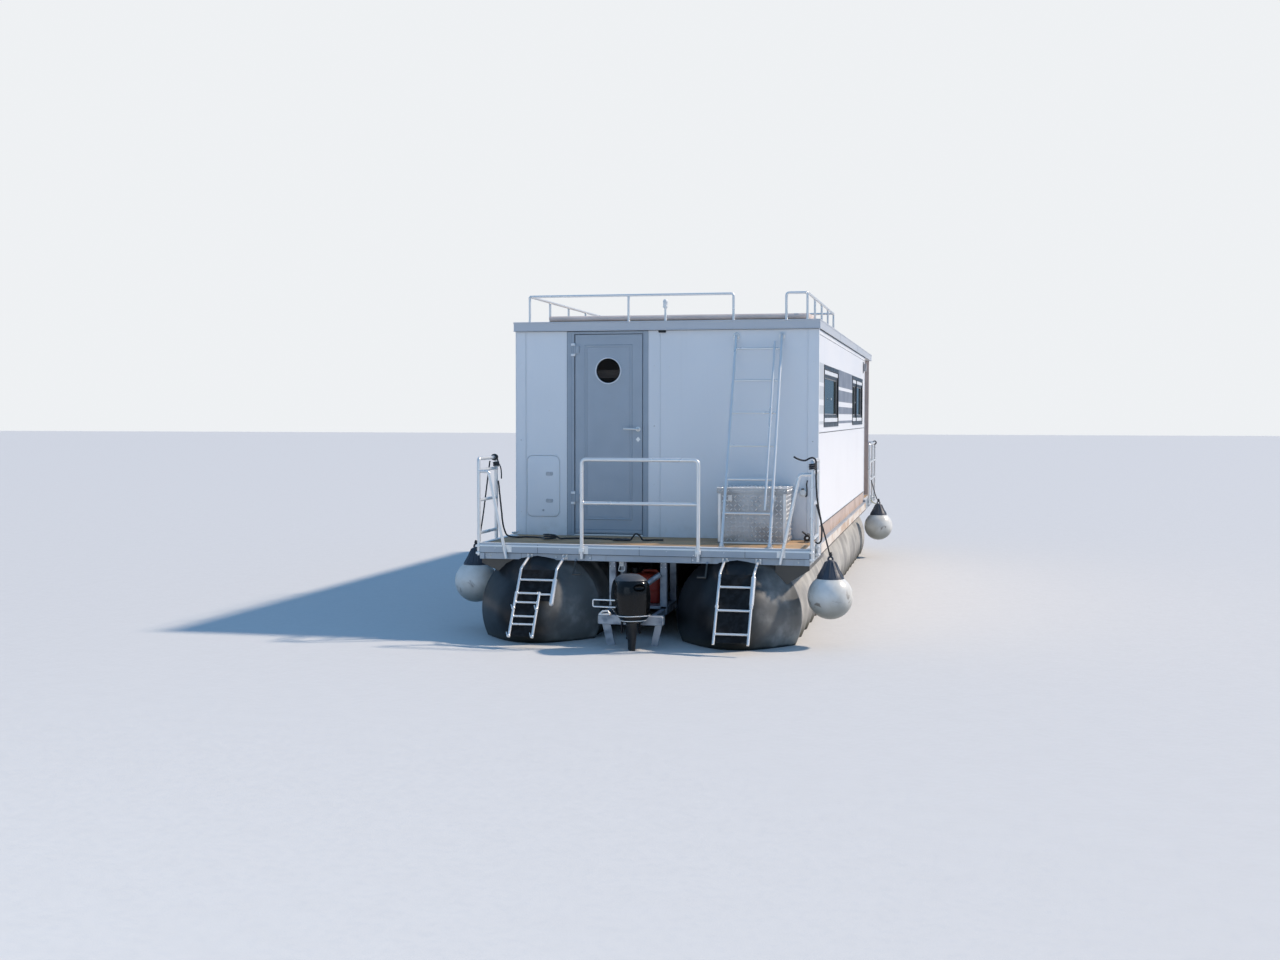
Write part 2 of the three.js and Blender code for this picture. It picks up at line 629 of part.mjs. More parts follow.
function rope(points, diameter, steps) {
  const route = points.map(([x, y, z]) => new THREE.Vector3(x, at(y), z));
  const curve = new THREE.CatmullRomCurve3(route);
  const section = new THREE.Shape();
  for (let i = 0; i < ROPE_SIDES; i += 1) {
    const angle = (i / ROPE_SIDES) * Math.PI * 2;
    const [u, v] = [Math.cos(angle) * diameter / 2, Math.sin(angle) * diameter / 2];
    if (i === 0) section.moveTo(u, v);
    else section.lineTo(u, v);
  }
  return solidOf(new THREE.ExtrudeGeometry(section, { steps, bevelEnabled: false, extrudePath: curve }));
}

const DRAPED_LINE = [
  [1648, 70, 985], [1672, 66, 968], [1700, 58, 985], [1712, 50, 1060], [1704, 42, 1180],
  [1682, 36, 1300], [1666, 32, 1420], [1658, 30, 1560], [1657, 30, 1690], [1649, 30, 1752],
  [1623, 30, 1768], [1594, 29, 1760], [1560, 26, 1744], [1520, 22, 1745], [1480, 16, 1760],
  [1450, 10, 1778],
];
const DECK_ROPE = [
  [-1590, 545, 1500], [-1578, 545, 1380], [-1560, 550, 1200], [-1545, 566, 1040], [-1516, 600, 945],
  [-1455, 655, 922], [-1340, 700, 921], [-1220, 690, 921], [-1150, 630, 921], [-1110, 545, 921],
  [-1080, 498, 924], [-1020, 496, 928], [-990, 545, 931], [-1020, 592, 934], [-1080, 594, 938],
  [-1112, 545, 941], [-1082, 494, 945], [-1018, 492, 948], [-988, 545, 951], [-1018, 596, 954],
  [-1082, 598, 958], [-1114, 547, 961], [-1080, 500, 965], [-1018, 498, 964], [-970, 536, 942],
  [-952, 576, 923], [-915, 615, 921], [-830, 665, 921], [-700, 690, 921], [-560, 670, 921],
  [-440, 640, 921], [-340, 650, 921], [-255, 632, 921], [-245, 592, 921], [-325, 580, 921],
  [-398, 565, 921], [-390, 535, 921], [-300, 528, 921], [-220, 540, 926], [-195, 522, 955],
  [-157, 508, 990], [-118, 518, 965], [-104, 550, 930], [-70, 600, 921], [10, 640, 921], [90, 650, 921],
];

// Root structure
const sides = { port: -1, starboard: 1 };
for (const [name, side] of Object.entries(sides)) place(`pontoon_${name}`, pontoon(side), ...CHARCOAL);
place("deck_frame", deckFrame(), ...ALUMINIUM);
place("stern_deck", planks(40 + GAP, CABIN_AFT + WALL, 8), ...WOOD);
place("bow_deck", planks(CABIN_FORE - WALL, DECK_LENGTH - 40 - GAP, 15), ...WOOD);
const floorHalf = HALF_BEAM - WALL - GAP;
const floorEnds = [at(CABIN_AFT + WALL) + GAP, at(CABIN_FORE - WALL) - GAP];
place("cabin_floor", box(-floorHalf, floorHalf, ...floorEnds, FRAME_TOP + GAP, DECK_TOP), 0x8d7a63, 0.6);
place("wall_stern", sternWall(), ...WHITE);
place("wall_bow", bowWall(), ...WHITE);
for (const [name, side] of Object.entries(sides)) {
  place(`wall_${name}`, sideWall(side), ...WHITE);
  place(`sill_${name}`, sill(side), 0x9a8672, 0.8);
  for (const [part, row] of Object.entries(WINDOWS)) {
    place(`window_frame_${name}_${part}`, windowFrame(side, row), ...FRAME_BLACK);
    place(`window_glass_${name}_${part}`, windowPane(side, row), ...GLASS);
  }
}
place("roof", box(-ROOF_HALF, ROOF_HALF, at(ROOF_AFT), at(ROOF_FORE), ROOF_BOTTOM, ROOF_TOP), ...WHITE);
const terrace = ROOF_DECK;
place("roof_deck", box(-terrace.half, terrace.half, at(terrace.aft), at(terrace.fore), ROOF_TOP + GAP,
  terrace.top), ...WOOD);
place("roof_rail", roofRail(), ...STEEL);
place("stern_rail", sternRail(), ...STEEL);
for (const [name, side] of Object.entries(sides)) {
  place(`quarter_rail_${name}`, quarterRail(side), ...STEEL);
  place(`bow_rail_${name}`, bowRail(side), ...STEEL);
  place(`terrace_post_${name}`, terracePost(side), 0xb5a69b, 0.5);
}
place("roof_ladder", roofLadder(), ...STEEL);
place("deck_box", deckBox(), ...ALUMINIUM);
place("swim_ladder_port", swimLadder([-1100, -750], true), ...STEEL);
place("swim_ladder_starboard", swimLadder([810, 1125], false), ...STEEL);
place("motor_frame", motorFrame(), ...ALUMINIUM);
place("fuel_tank", fuelTank(), 0xa83a26, 0.5);
place("nav_light", navLight(), ...WHITE);
const FENDERS = {
  starboard_aft: [[1790, 100, 470], [[1752, 112, 980], [1652, 130, 1330]]],
  port_aft: [[-1806, 480, 484], [[-1765, 478, 960], [-1654, 470, 1700]]],
  starboard_fore: [[1765, 9020, 480], [[1725, 9020, 930], [1650, 9020, 1180]]],
};
for (const [name, [centre, lanyard]] of Object.entries(FENDERS)) {
  place(`fender_${name}`, fender(centre, lanyard), 0xd9d6cd, 0.5);
}
place("draped_line", rope(DRAPED_LINE, 18, 48), 0x151515, 0.9);
place("deck_rope", rope(DECK_ROPE, 18, 170), 0x151515, 0.9);

// Stern door, hatch, bow doors and box lid
place("stern_door", sternDoor(), 0xc4cbd2, 0.45);
place("stern_door_glass", portholeGlass(), ...GLASS);
place("locker_hatch", lockerHatch(), ...WHITE);
for (const [name, side] of Object.entries(sides)) {
  place(`bow_door_${name}`, bowLeaf(side), ...WHITE);
  place(`bow_door_glass_${name}`, bowPane(side), ...GLASS);
}
place("box_lid", boxLid(), ...ALUMINIUM);

// Outboard motor: clamp bracket on the beam, swivel bracket on the tilt pin, then the steered unit
function clampBracket() {
  const [aft, fore] = [at(BEAM.aft), at(BEAM.fore)];
  const solids = [];
  for (const side of [-1, 1]) {
    const [x0, x1] = [MOTOR_X + side * 78, MOTOR_X + side * 92].sort((a, b) => a - b);
    solids.push(box(x0, x1, aft - 30, aft - GAP, 130, BEAM.top + 22));
    solids.push(box(x0, x1, aft - 30, fore + 30, BEAM.top + GAP, BEAM.top + 22));
    solids.push(box(x0, x1, fore + GAP, fore + 30, 215, BEAM.top + 22));
    solids.push(bar([x0, at(TILT.y), TILT.z], [x1, at(TILT.y), TILT.z], 22, 10));
    solids.push(bar([MOTOR_X + side * 85, fore + 25, 250], [MOTOR_X + side * 85, fore + 80, 250], 9));
  }
  solids.push(box(MOTOR_X - 92, MOTOR_X + 92, fore + 6, fore + 30, BEAM.top - 20, BEAM.top + 22));
  return join(solids);
}

function swivelBracket() {
  const [tiltY, steerY] = [at(TILT.y), at(STEER_Y)];
  return join([
    bar([MOTOR_X - 76, tiltY, TILT.z], [MOTOR_X + 76, tiltY, TILT.z], 14, 10),
    bar([MOTOR_X, steerY, 118], [MOTOR_X, steerY, 330], 26, 12),
    box(MOTOR_X - 40, MOTOR_X + 40, steerY + 10, tiltY, 312, 330),
    box(MOTOR_X - 12, MOTOR_X + 12, steerY + 10, at(BEAM.aft) - 12, 150, 320),
  ]);
}

const steered = new THREE.Group();
steered.position.set(MOTOR_X, at(STEER_Y), 0);
steered.rotation.z = STEER_REST * TO_RAD;
boat.add(steered);

// Cowl sections from the bottom up: height, half width, front and back place from the steering axis
const COWL = [
  [265, 95, -62, -215], [300, 128, -57, -248], [334, 150, -52, -262], [342, 154, 62, -264],
  [380, 164, 128, -268], [485, 172, 152, -272], [600, 160, 144, -262], [655, 132, 112, -228],
  [690, 82, 50, -160],
];

// Leg sections in the same columns
const LEG = [
  [-520, 7, -60, -135], [-430, 11, -30, -170], [-330, 19, -26, -176], [-150, 25, -34, -165],
  [90, 34, -34, -168], [265 - GAP, 60, -40, -200],
];

function ring([z, half, front, back]) {
  const corner = 0.6;
  const [middle, reach] = [(front + back) / 2, (front - back) / 2];
  const points = [];
  for (const [sx, sy, first] of [[1, -1, -90], [1, 1, 0], [-1, 1, 90], [-1, -1, 180]]) {
    for (const step of [0, 30, 60, 90]) {
      const angle = (first + step) * TO_RAD;
      const x = half * (sx * (1 - corner) + Math.cos(angle) * corner);
      points.push([x, middle + reach * (sy * (1 - corner) + Math.sin(angle) * corner), z]);
    }
  }
  return points;
}

// A closed loft through rings of equal count
function loft(rings) {
  const count = rings[0].length;
  const index = [];
  for (let level = 1; level < rings.length; level += 1) {
    for (let i = 0; i < count; i += 1) {
      const [a, b] = [(level - 1) * count + i, (level - 1) * count + ((i + 1) % count)];
      index.push(a, b, b + count, a, b + count, a + count);
    }
  }
  const top = (rings.length - 1) * count;
  for (let i = 1; i < count - 1; i += 1) index.push(0, i + 1, i, top, top + i, top + i + 1);
  const geometry = new THREE.BufferGeometry();
  geometry.setAttribute("position", new THREE.Float32BufferAttribute(rings.flat(2), 3));
  geometry.setIndex(index);
  return solidOf(geometry);
}

function motorCowl() {
  const grip = bar([0, -330, 610], [0, -190, 640], 44, 8);
  return cut(loft(COWL.map(ring)), [grip]);
}

function motorLeg() {
  const gearcase = bar([0, 18, SHAFT_Z], [0, -190, SHAFT_Z], 42, 10, 36);
  const nose = bar([0, 60, SHAFT_Z], [0, 18, SHAFT_Z], 16, 10, 42);
  const fin = box(-75, 75, -255, -5, -262, -252);
  const lowerMount = box(-24, 24, -50, 24, 84, 112);
  return join([loft(LEG.map(ring)), gearcase, nose, fin, lowerMount]);
}

// Three pitched blades on a hub
function propeller() {
  const solids = [bar([0, -192, SHAFT_Z], [0, -262, SHAFT_Z], 34, 10, 28)];
  for (let i = 0; i < 3; i += 1) {
    const blade = new THREE.CylinderGeometry(54, 54, 7, 10);
    blade.translate(0, 0, 62);
    blade.rotateZ(24 * TO_RAD);
    blade.rotateY(i * 120 * TO_RAD);
    blade.translate(0, -228, SHAFT_Z);
    solids.push(solidOf(blade));
  }
  return join(solids);
}

place("clamp_bracket", clampBracket(), ...MOTOR_BLACK);
place("swivel_bracket", swivelBracket(), ...MOTOR_BLACK);
place("motor_leg", motorLeg(), ...MOTOR_BLACK, 0.2, steered);
place("motor_cowl", motorCowl(), ...MOTOR_BLACK, 0.1, steered);
place("propeller", propeller(), 0x6c7075, 0.35, 0.6, steered);

export default boat;
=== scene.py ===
"""Looks of the pontoon houseboat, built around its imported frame.

Metres, +Z up, bow towards +Y, starboard towards +X, origin amidships on the waterline.
Lengthwise places are measured from the deck's aft edge and shifted by at().
"""

import math
import random

import bmesh
import bpy
from mathutils import Matrix, Vector


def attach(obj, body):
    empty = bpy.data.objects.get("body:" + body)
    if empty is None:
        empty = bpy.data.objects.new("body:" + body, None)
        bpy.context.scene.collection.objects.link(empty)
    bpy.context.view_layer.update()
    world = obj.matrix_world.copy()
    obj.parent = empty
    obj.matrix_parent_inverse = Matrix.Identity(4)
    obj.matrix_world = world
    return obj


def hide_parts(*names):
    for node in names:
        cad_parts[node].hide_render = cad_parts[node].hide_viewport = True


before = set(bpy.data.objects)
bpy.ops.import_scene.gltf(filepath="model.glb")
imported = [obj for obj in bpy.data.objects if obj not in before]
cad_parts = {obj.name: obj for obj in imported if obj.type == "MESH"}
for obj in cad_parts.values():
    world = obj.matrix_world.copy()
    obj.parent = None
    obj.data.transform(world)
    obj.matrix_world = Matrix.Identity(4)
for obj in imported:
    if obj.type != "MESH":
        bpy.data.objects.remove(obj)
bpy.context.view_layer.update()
random.seed(7)

# Driving dimensions
DECK_LENGTH = 10.5
HALF_BEAM = 1.575
OUTER = 1.605
DECK_TOP = 0.91
LIP_TOP = 0.913
FRAME_BOTTOM = 0.76
CABIN_AFT = 1.11
CABIN_FORE = 8.4
WALL = 0.05
ROOF_BOTTOM, ROOF_TOP = 3.03, 3.12
ROOF_AFT, ROOF_FORE, ROOF_HALF = 1.08, 9.9, 1.59
GAP = 0.0003
TUBE = 0.018
ROOF_TUBE = 0.013
RAIL_TOP = 1.736
PORT_AND_STARBOARD = {"port": -1, "starboard": 1}


def at(y):
    return y - DECK_LENGTH / 2


# Camera
CAMERA_PLACE = (2.937, -18.791, 2.15)
CAMERA_YAW = math.radians(12.27)
CAMERA_PITCH = math.radians(-2.5)
CAMERA_ROLL = math.radians(0.09)
CAMERA_LENS = 41.06


def add_camera():
    data = bpy.data.cameras.new("photo_camera")
    data.lens = CAMERA_LENS
    data.sensor_width = 36
    data.clip_end = 500
    camera = new_object("photo_camera", data)
    turn = Matrix.Rotation(CAMERA_YAW, 4, "Z") @ Matrix.Rotation(math.pi / 2 + CAMERA_PITCH, 4, "X")
    camera.matrix_world = Matrix.Translation(CAMERA_PLACE) @ turn @ Matrix.Rotation(CAMERA_ROLL, 4, "Z")
    bpy.context.scene.camera = camera


# Routes
def filleted(points, bend):
    """The way through the points, each corner rounded by an arc of radius bend where there is room."""
    points, steps = [Vector(p) for p in points], 6
    way = [points[0]]
    for before, corner, after in zip(points, points[1:], points[2:]):
        back, on = before - corner, after - corner
        room = 0.45 * min(back.length, on.length)
        back.normalize()
        on.normalize()
        angle = back.angle(on)
        if angle > math.pi - 0.02:
            way.append(corner)
            continue
        trim = min(bend / math.tan(angle / 2), room)
        centre = corner + (back + on).normalized() * (trim / math.cos(angle / 2))
        start, end = corner + back * trim - centre, corner + on * trim - centre
        sweep = start.angle(end)
        for i in range(steps + 1):
            t = i / steps
            arm = start * math.sin((1 - t) * sweep) + end * math.sin(t * sweep)
            way.append(centre + arm / math.sin(sweep))
    way.append(points[-1])
    return way


def smooth_way(points, spacing):
    """A centripetal Catmull-Rom curve through the points, cut into about equal steps."""
    points = [Vector(p) for p in points]
    points = [points[0] * 2 - points[1], *points, points[-1] * 2 - points[-2]]
    fine = []
    for a, b, c, d in zip(points, points[1:], points[2:], points[3:]):
        t1 = (b - a).length ** 0.5
        t2 = t1 + (c - b).length ** 0.5
        t3 = t2 + (d - c).length ** 0.5
        for i in range(24):
            t = t1 + (t2 - t1) * i / 24
            ab = a.lerp(b, t / t1)
            bc = b.lerp(c, (t - t1) / (t2 - t1))
            cd = c.lerp(d, (t - t2) / (t3 - t2))
            fine.append(ab.lerp(bc, t / t2).lerp(bc.lerp(cd, (t - t1) / (t3 - t1)), (t - t1) / (t2 - t1)))
    fine.append(points[-2])
    return evenly(fine, spacing)


def way_length(way):
    return sum((b - a).length for a, b in zip(way, way[1:]))


def evenly(way, spacing):
    """The same way with its points about spacing apart."""
    total = way_length(way)
    count = max(2, round(total / spacing))
    result, walked, goal = [way[0]], 0.0, total / count
    for a, b in zip(way, way[1:]):
        step = (b - a).length
        while step > 0 and walked + step >= goal - 1e-9 and len(result) < count:
            result.append(a.lerp(b, (goal - walked) / step))
            goal += total / count
        walked += step
    result.append(way[-1])
    return result


def cross_directions(way, closed=False):
    """Two directions square to the way at each of its points, turning as little as they can."""
    tangents = []
    for i, point in enumerate(way):
        before = way[i - 1] if closed or i else point
        after = way[(i + 1) % len(way)] if closed or i + 1 < len(way) else point
        tangents.append((after - before).normalized())
    side = tangents[0].orthogonal().normalized()
    result = []
    for i, tangent in enumerate(tangents):
        if i:
            side = tangents[i - 1].rotation_difference(tangent) @ side
        side = (side - tangent * side.dot(tangent)).normalized()
        result.append((side, tangent.cross(side)))
    return result


def circle(centre, radius, axis=(0, 0, 1), count=24):
    """Points evenly round a circle square to the axis."""
    axis = Vector(axis).normalized()
    side = axis.orthogonal().normalized()
    up = axis.cross(side)
    angles = [2 * math.pi * i / count for i in range(count)]
    return [Vector(centre) + (side * math.cos(a) + up * math.sin(a)) * radius for a in angles]


# Solids
class Shape:
    """Points and faces of one piece, put together from simple solids in the frame's coordinates."""

    def __init__(self):
        self.points = []
        self.faces = []

    def add(self, points, faces):
        first = len(self.points)
        self.points.extend(Vector(p) for p in points)
        self.faces.extend([first + i for i in face] for face in faces)
        return self

    def turn(self, matrix, first=0):
        for i in range(first, len(self.points)):
            self.points[i] = matrix @ self.points[i]
        return self

    def skin(self, rings, closed=False):
        """Faces between rings of equal count; a ring of one point is a pole."""
        faces, starts, points = [], [], []
        for ring in rings:
            starts.append(len(points))
            points.extend(ring)
        count = max(len(ring) for ring in rings)
        levels = len(rings)
        for level in range(levels if closed else levels - 1):
            a, b = level, (level + 1) % levels
            for i in range(count):
                j = (i + 1) % count
                if len(rings[a]) == 1:
                    faces.append([starts[a], starts[b] + j, starts[b] + i])
                elif len(rings[b]) == 1:
                    faces.append([starts[a] + i, starts[a] + j, starts[b]])
                else:
                    faces.append([starts[a] + i, starts[a] + j, starts[b] + j, starts[b] + i])
        if not closed:
            for level in (0, -1):
                if len(rings[level]) > 1:
                    faces.append([starts[level] + i for i in range(count)])
        return self.add(points, faces)

    def tube(self, points, radius, sides=14, bend=0.0, closed=False, edge=0.0015):
        """A round tube; radius is a number or a function of the place along it and round it."""
        way = filleted(points, bend) if bend else [Vector(p) for p in points]
        size = radius if callable(radius) else (lambda along, angle: radius)
        directions = cross_directions(way, closed)
        if not closed and edge:
            way = [way[0], *way, way[-1]]
            directions = [directions[0], *directions, directions[-1]]
        rings, walked, last = [], 0.0, len(way) - 1
        for i, (point, (side, up)) in enumerate(zip(way, directions)):
            walked += (point - way[i - 1]).length if i else 0.0
            less = edge if edge and not closed and i in (0, last) else 0.0
            ring = []
            for k in range(sides):
                angle = 2 * math.pi * k / sides
                out = side * math.cos(angle) + up * math.sin(angle)
                ring.append(point + out * (size(walked, angle) - less))
            rings.append(ring)
        if not closed and edge:
            for ring, way_in in ((rings[1], way[2] - way[1]), (rings[-2], way[-3] - way[-2])):
                shift = way_in.normalized() * edge
                ring[:] = [p + shift for p in ring]
        return self.skin(rings, closed)

    def lathe(self, profile, centre, axis=(0, 0, 1), sides=40, ring=False):
        """A turned solid: rows of radius and place along the axis. A ring's profile closes on itself."""
        middle, axis = Vector(centre), Vector(axis).normalized()
        rings = [[middle + axis * along] if radius < 1e-6 and not ring else
                 circle(middle + axis * along, radius, axis, sides) for radius, along in profile]
        return self.skin(rings, closed=ring)

    def disc(self, centre, axis, radius, thick, sides=24, edge=0.002):
        """A flat round plate with a rounded rim, standing on the centre."""
        profile = [(radius, 0), (radius, thick - edge), (radius - edge * 0.3, thick - edge * 0.3),
                   (radius - edge, thick)]
        return self.lathe(profile, centre, axis, sides)

    def ball(self, centre, radius, sides=20, levels=10, squash=1.0):
        angles = [-math.pi / 2 + math.pi * i / levels for i in range(levels + 1)]
        profile = [(radius * math.cos(a), radius * squash * math.sin(a)) for a in angles]
        profile[0] = (0.0, profile[0][1])
        profile[-1] = (0.0, profile[-1][1])
        return self.lathe(profile, centre, (0, 0, 1), sides)

    def block(self, low, high, edge=0.003):
        """A box with its edges taken off."""
        low, high = [min(a, b) for a, b in zip(low, high)], [max(a, b) for a, b in zip(low, high)]
        edge = min(edge, 0.45 * min(h - l for l, h in zip(low, high)))
        points = []
        for corner in range(8):
            bits = (corner >> 2 & 1, corner >> 1 & 1, corner & 1)
            for axis in range(3):
                point = [high[k] - edge if bits[k] else low[k] + edge for k in range(3)]
                point[axis] = high[axis] if bits[axis] else low[axis]
                points.append(point)

        def number(axis, end, pair, square_to):
            """The place in the list of a corner's point on the face square to an axis."""
            bits = [0, 0, 0]
            bits[axis], bits[(axis + 1) % 3], bits[(axis + 2) % 3] = end, *pair
            return 3 * (bits[0] * 4 + bits[1] * 2 + bits[2]) + square_to

        faces = []
        for axis in range(3):
            u, v = (axis + 1) % 3, (axis + 2) % 3
            for end in (0, 1):
                faces.append([number(axis, end, pair, axis) for pair in ((0, 0), (1, 0), (1, 1), (0, 1))])
            for pair in ((0, 0), (0, 1), (1, 0), (1, 1)):
                faces.append([number(axis, end, pair, to) for end, to in ((0, u), (1, u), (1, v), (0, v))])
        faces.extend([3 * corner, 3 * corner + 1, 3 * corner + 2] for corner in range(8))
        return self.add(points, faces)

    def slabs(self, axis, low, high, rows, edge):
        """Blocks from low to high along an axis; a row holds both ends along each of the other two."""
        for a0, a1, b0, b1 in rows:
            ends = {"x": ((low, a0, b0), (high, a1, b1)), "y": ((a0, low, b0), (a1, high, b1)),
                    "z": ((a0, b0, low), (a1, b1, high))}[axis]
            self.block(*ends, edge)
        return self

    def plate(self, outline, low, high, axis="y", edge=0.002):
        """An outline in the other two axes, thick from low to high along axis, its rims taken off."""
        middle = sum((Vector(p) for p in outline), Vector((0, 0))) / len(outline)
        inner = []
        for p in outline:
            way_in = middle - Vector(p)
            inner.append(Vector(p) + way_in.normalized() * min(edge, way_in.length))
        spread = {"x": lambda p, w: (w, p[0], p[1]), "y": lambda p, w: (p[0], w, p[1]),
                  "z": lambda p, w: (p[0], p[1], w)}[axis]
        rows = [(inner, low), (outline, low + edge), (outline, high - edge), (inner, high)]
        return self.skin([[spread(p, w) for p in points] for points, w in rows])


def rounded_rectangle(x0, x1, z0, z1, radius, steps=8):
    points = []
    for cx, cz, first in ((x1 - radius, z0 + radius, -90), (x1 - radius, z1 - radius, 0),
                          (x0 + radius, z1 - radius, 90), (x0 + radius, z0 + radius, 180)):
        for i in range(steps + 1):
            angle = math.radians(first + 90 * i / steps)
            points.append((cx + radius * math.cos(angle), cz + radius * math.sin(angle)))
    return points


def ring_plate(shape, outer, inner, y_low, y_high):
    """A frame between two outlines of equal count in X and Z, from y_low to y_high."""
    rows = [(outer, y_low), (inner, y_low), (inner, y_high), (outer, y_high)]
    return shape.skin([[(x, y, z) for x, z in points] for points, y in rows], closed=True)


def mesh_of(name, shape, smooth):
    """The shape's mesh, its faces turned outwards and smooth where they meet at less than smooth degrees."""
    mesh = bpy.data.meshes.new(name)
    mesh.from_pydata([tuple(p) for p in shape.points], [], shape.faces)
    work = bmesh.new()
    work.from_mesh(mesh)
    bmesh.ops.recalc_face_normals(work, faces=work.faces)
    work.to_mesh(mesh)
    work.free()
    mesh.shade_smooth()
    mesh.set_sharp_from_angle(angle=math.radians(smooth))
    return mesh


def new_object(name, data):
    obj = bpy.data.objects.new(name, data)
    bpy.context.scene.collection.objects.link(obj)
    return obj


def piece(name, shape, finish, body="root", smooth=32, replaces=()):
    """Makes the object of a shape, hangs it on its body, and hides the frame's parts that it replaces."""
    obj = new_object(name, mesh_of(name, shape, smooth))
    obj.data.materials.append(FINISHES[finish])
    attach(obj, body)
    if replaces:
        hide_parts(*replaces)
    return obj


# Finishes
def srgb(red, green, blue):
    """A colour given as the eye sees it, 0 to 255, as the linear value that a shader takes."""
    def linear(value):
        value /= 255
        return value / 12.92 if value <= 0.04045 else ((value + 0.055) / 1.055) ** 2.4
    return (linear(red), linear(green), linear(blue), 1.0)


class Finish:
    """A procedural material: a principled shader and short calls for the nodes that drive it."""

    def __init__(self, name, roughness=0.5, metallic=0.0, **constant):
        self.material = bpy.data.materials.new(name)
        self.material.use_nodes = True
        self.tree = self.material.node_tree
        self.shader = self.tree.nodes["Principled BSDF"]
        self.shader.inputs["Roughness"].default_value = roughness
        self.shader.inputs["Metallic"].default_value = metallic
        for socket, value in constant.items():
            self.shader.inputs[socket.replace("_", " ")].default_value = value
        self.place = self.node("ShaderNodeTexCoord").outputs["Object"]
        split = self.node("ShaderNodeSeparateXYZ")
        self.feed(split.inputs[0], self.place)
        self.x, self.y, self.z = split.outputs

    def node(self, kind, **settings):
        node = self.tree.nodes.new(kind)
        for key, value in settings.items():
            setattr(node, key, value)
        return node

    def feed(self, socket, value):
        if isinstance(value, bpy.types.NodeSocket):
            self.tree.links.new(value, socket)
        else:
            socket.default_value = value

    def made(self, kind, inputs, output=0, **settings):
        """The output of a new node whose inputs are fed by name or place."""
        node = self.node(kind, **settings)
        for key, value in inputs.items():
            self.feed(node.inputs[key], value)
        return node.outputs[output]

    def scaled(self, stretch):
        return self.made("ShaderNodeMapping", {"Vector": self.place, "Scale": stretch})

    def noise(self, scale, detail=4.0, stretch=(1, 1, 1), warp=0.0):
        inputs = {"Vector": self.scaled(stretch), "Scale": scale, "Detail": detail, "Distortion": warp}
        return self.made("ShaderNodeTexNoise", inputs)

    def cells(self, scale):
        inputs = {"Vector": self.scaled((1, 1, 1)), "Scale": scale}
        return self.made("ShaderNodeTexVoronoi", inputs, "Distance")

    def maths(self, operation, a, b=0.0, c=0.0):
        return self.made("ShaderNodeMath", {0: a, 1: b, 2: c}, operation=operation)

    def times(self, a, b):
        return self.maths("MULTIPLY", a, b)

    def span(self, value, low, high, to_low=0.0, to_high=1.0):
        """A smooth step of value between low and high."""
        inputs = dict(enumerate((value, low, high, to_low, to_high)))
        return self.made("ShaderNodeMapRange", inputs, interpolation_type="SMOOTHSTEP")

    def within(self, value, low, high):
        return self.maths("COMPARE", value, (low + high) / 2, (high - low) / 2)

    def mix(self, a, b, share):
        return self.made("ShaderNodeMix", {0: share, 6: a, 7: b}, 2, data_type="RGBA")

    def rounded(self, radius):
        """Normals that round off the hard edges of a plain solid."""
        return self.made("ShaderNodeBevel", {"Radius": radius}, samples=4)

    def bump(self, height, distance, strength=1.0, normal=None):
        inputs = {"Height": height, "Distance": distance, "Strength": strength}
        if normal is not None:
            inputs["Normal"] = normal
        return self.made("ShaderNodeBump", inputs)

    def done(self, colour=None, roughness=None, normal=None):
        for name, value in (("Base Color", colour), ("Roughness", roughness), ("Normal", normal)):
            if value is not None:
                self.feed(self.shader.inputs[name], value)
        return self.material


WINDOW_GAP = (at(3.56), at(5.86))
WINDOW_LEAD = (at(1.20), at(1.695))
STRIPES = [(2.497, 2.696), (2.324, 2.46), (2.179, 2.265), (2.069, 2.101)]


def painted_panel(name, white, streak, stripes=False):
    """Coated sandwich panel: an even gloss with the faintest rain streaks, and stripes beside the windows."""
    f = Finish(name, roughness=0.36)
    soft = f.noise(0.8, 2)
    colour = f.mix(white, shade(white, 0.96), f.span(soft, 0.35, 0.75))
    rain = f.times(f.span(f.noise(9, 4, (1, 1, 0.06)), 0.55, 0.8), f.span(f.z, 1.0, 3.0, 0.2, 0.9))
    colour = f.mix(colour, streak, f.times(rain, 0.09))
    splash = f.times(f.span(f.z, 1.2, 0.93), f.span(f.noise(11, 5), 0.42, 0.72))
    colour = f.mix(colour, srgb(168, 162, 148), f.times(splash, 0.16))
    if stripes:
        bands = None
        for low, high in STRIPES:
            band = f.within(f.z, low, high)
            bands = band if bands is None else f.maths("ADD", bands, band)
        middle = f.times(bands, f.within(f.y, *WINDOW_GAP))
        lead = f.times(bands, f.within(f.y, *WINDOW_LEAD))
        worn = f.span(f.noise(3, 4), 0.3, 0.8, 1.0, 0.82)
        colour = f.mix(colour, srgb(112, 116, 128), f.times(middle, worn))
        colour = f.mix(colour, srgb(196, 200, 203), f.times(lead, worn))
    peel = f.noise(60, 2)
    dent = f.noise(0.9, 2)
    height = f.maths("ADD", f.times(peel, 0.15), dent)
    return f.done(colour, f.span(soft, 0.2, 0.8, 0.3, 0.42), f.bump(height, 0.004, 0.25, f.rounded(0.004)))


def shade(colour, factor):
    """A linear colour made darker or lighter."""
    return tuple(c * factor for c in colour[:3]) + (1,)


def plain_paint(name, colour, roughness, wear, grain):
    """Paint or moulding with slight changes of tone and a fine grain."""
    f = Finish(name, roughness=roughness)
    tone = f.span(f.noise(5, 5), 0.3, 0.75)
    worn = shade(colour, 1 - wear)
    rough = f.span(f.noise(18, 4), 0.3, 0.7, roughness * 0.8, roughness * 1.25)
    return f.done(f.mix(colour, worn, tone), rough, f.bump(f.noise(grain, 3), 0.0006, 0.5, f.rounded(0.002)))


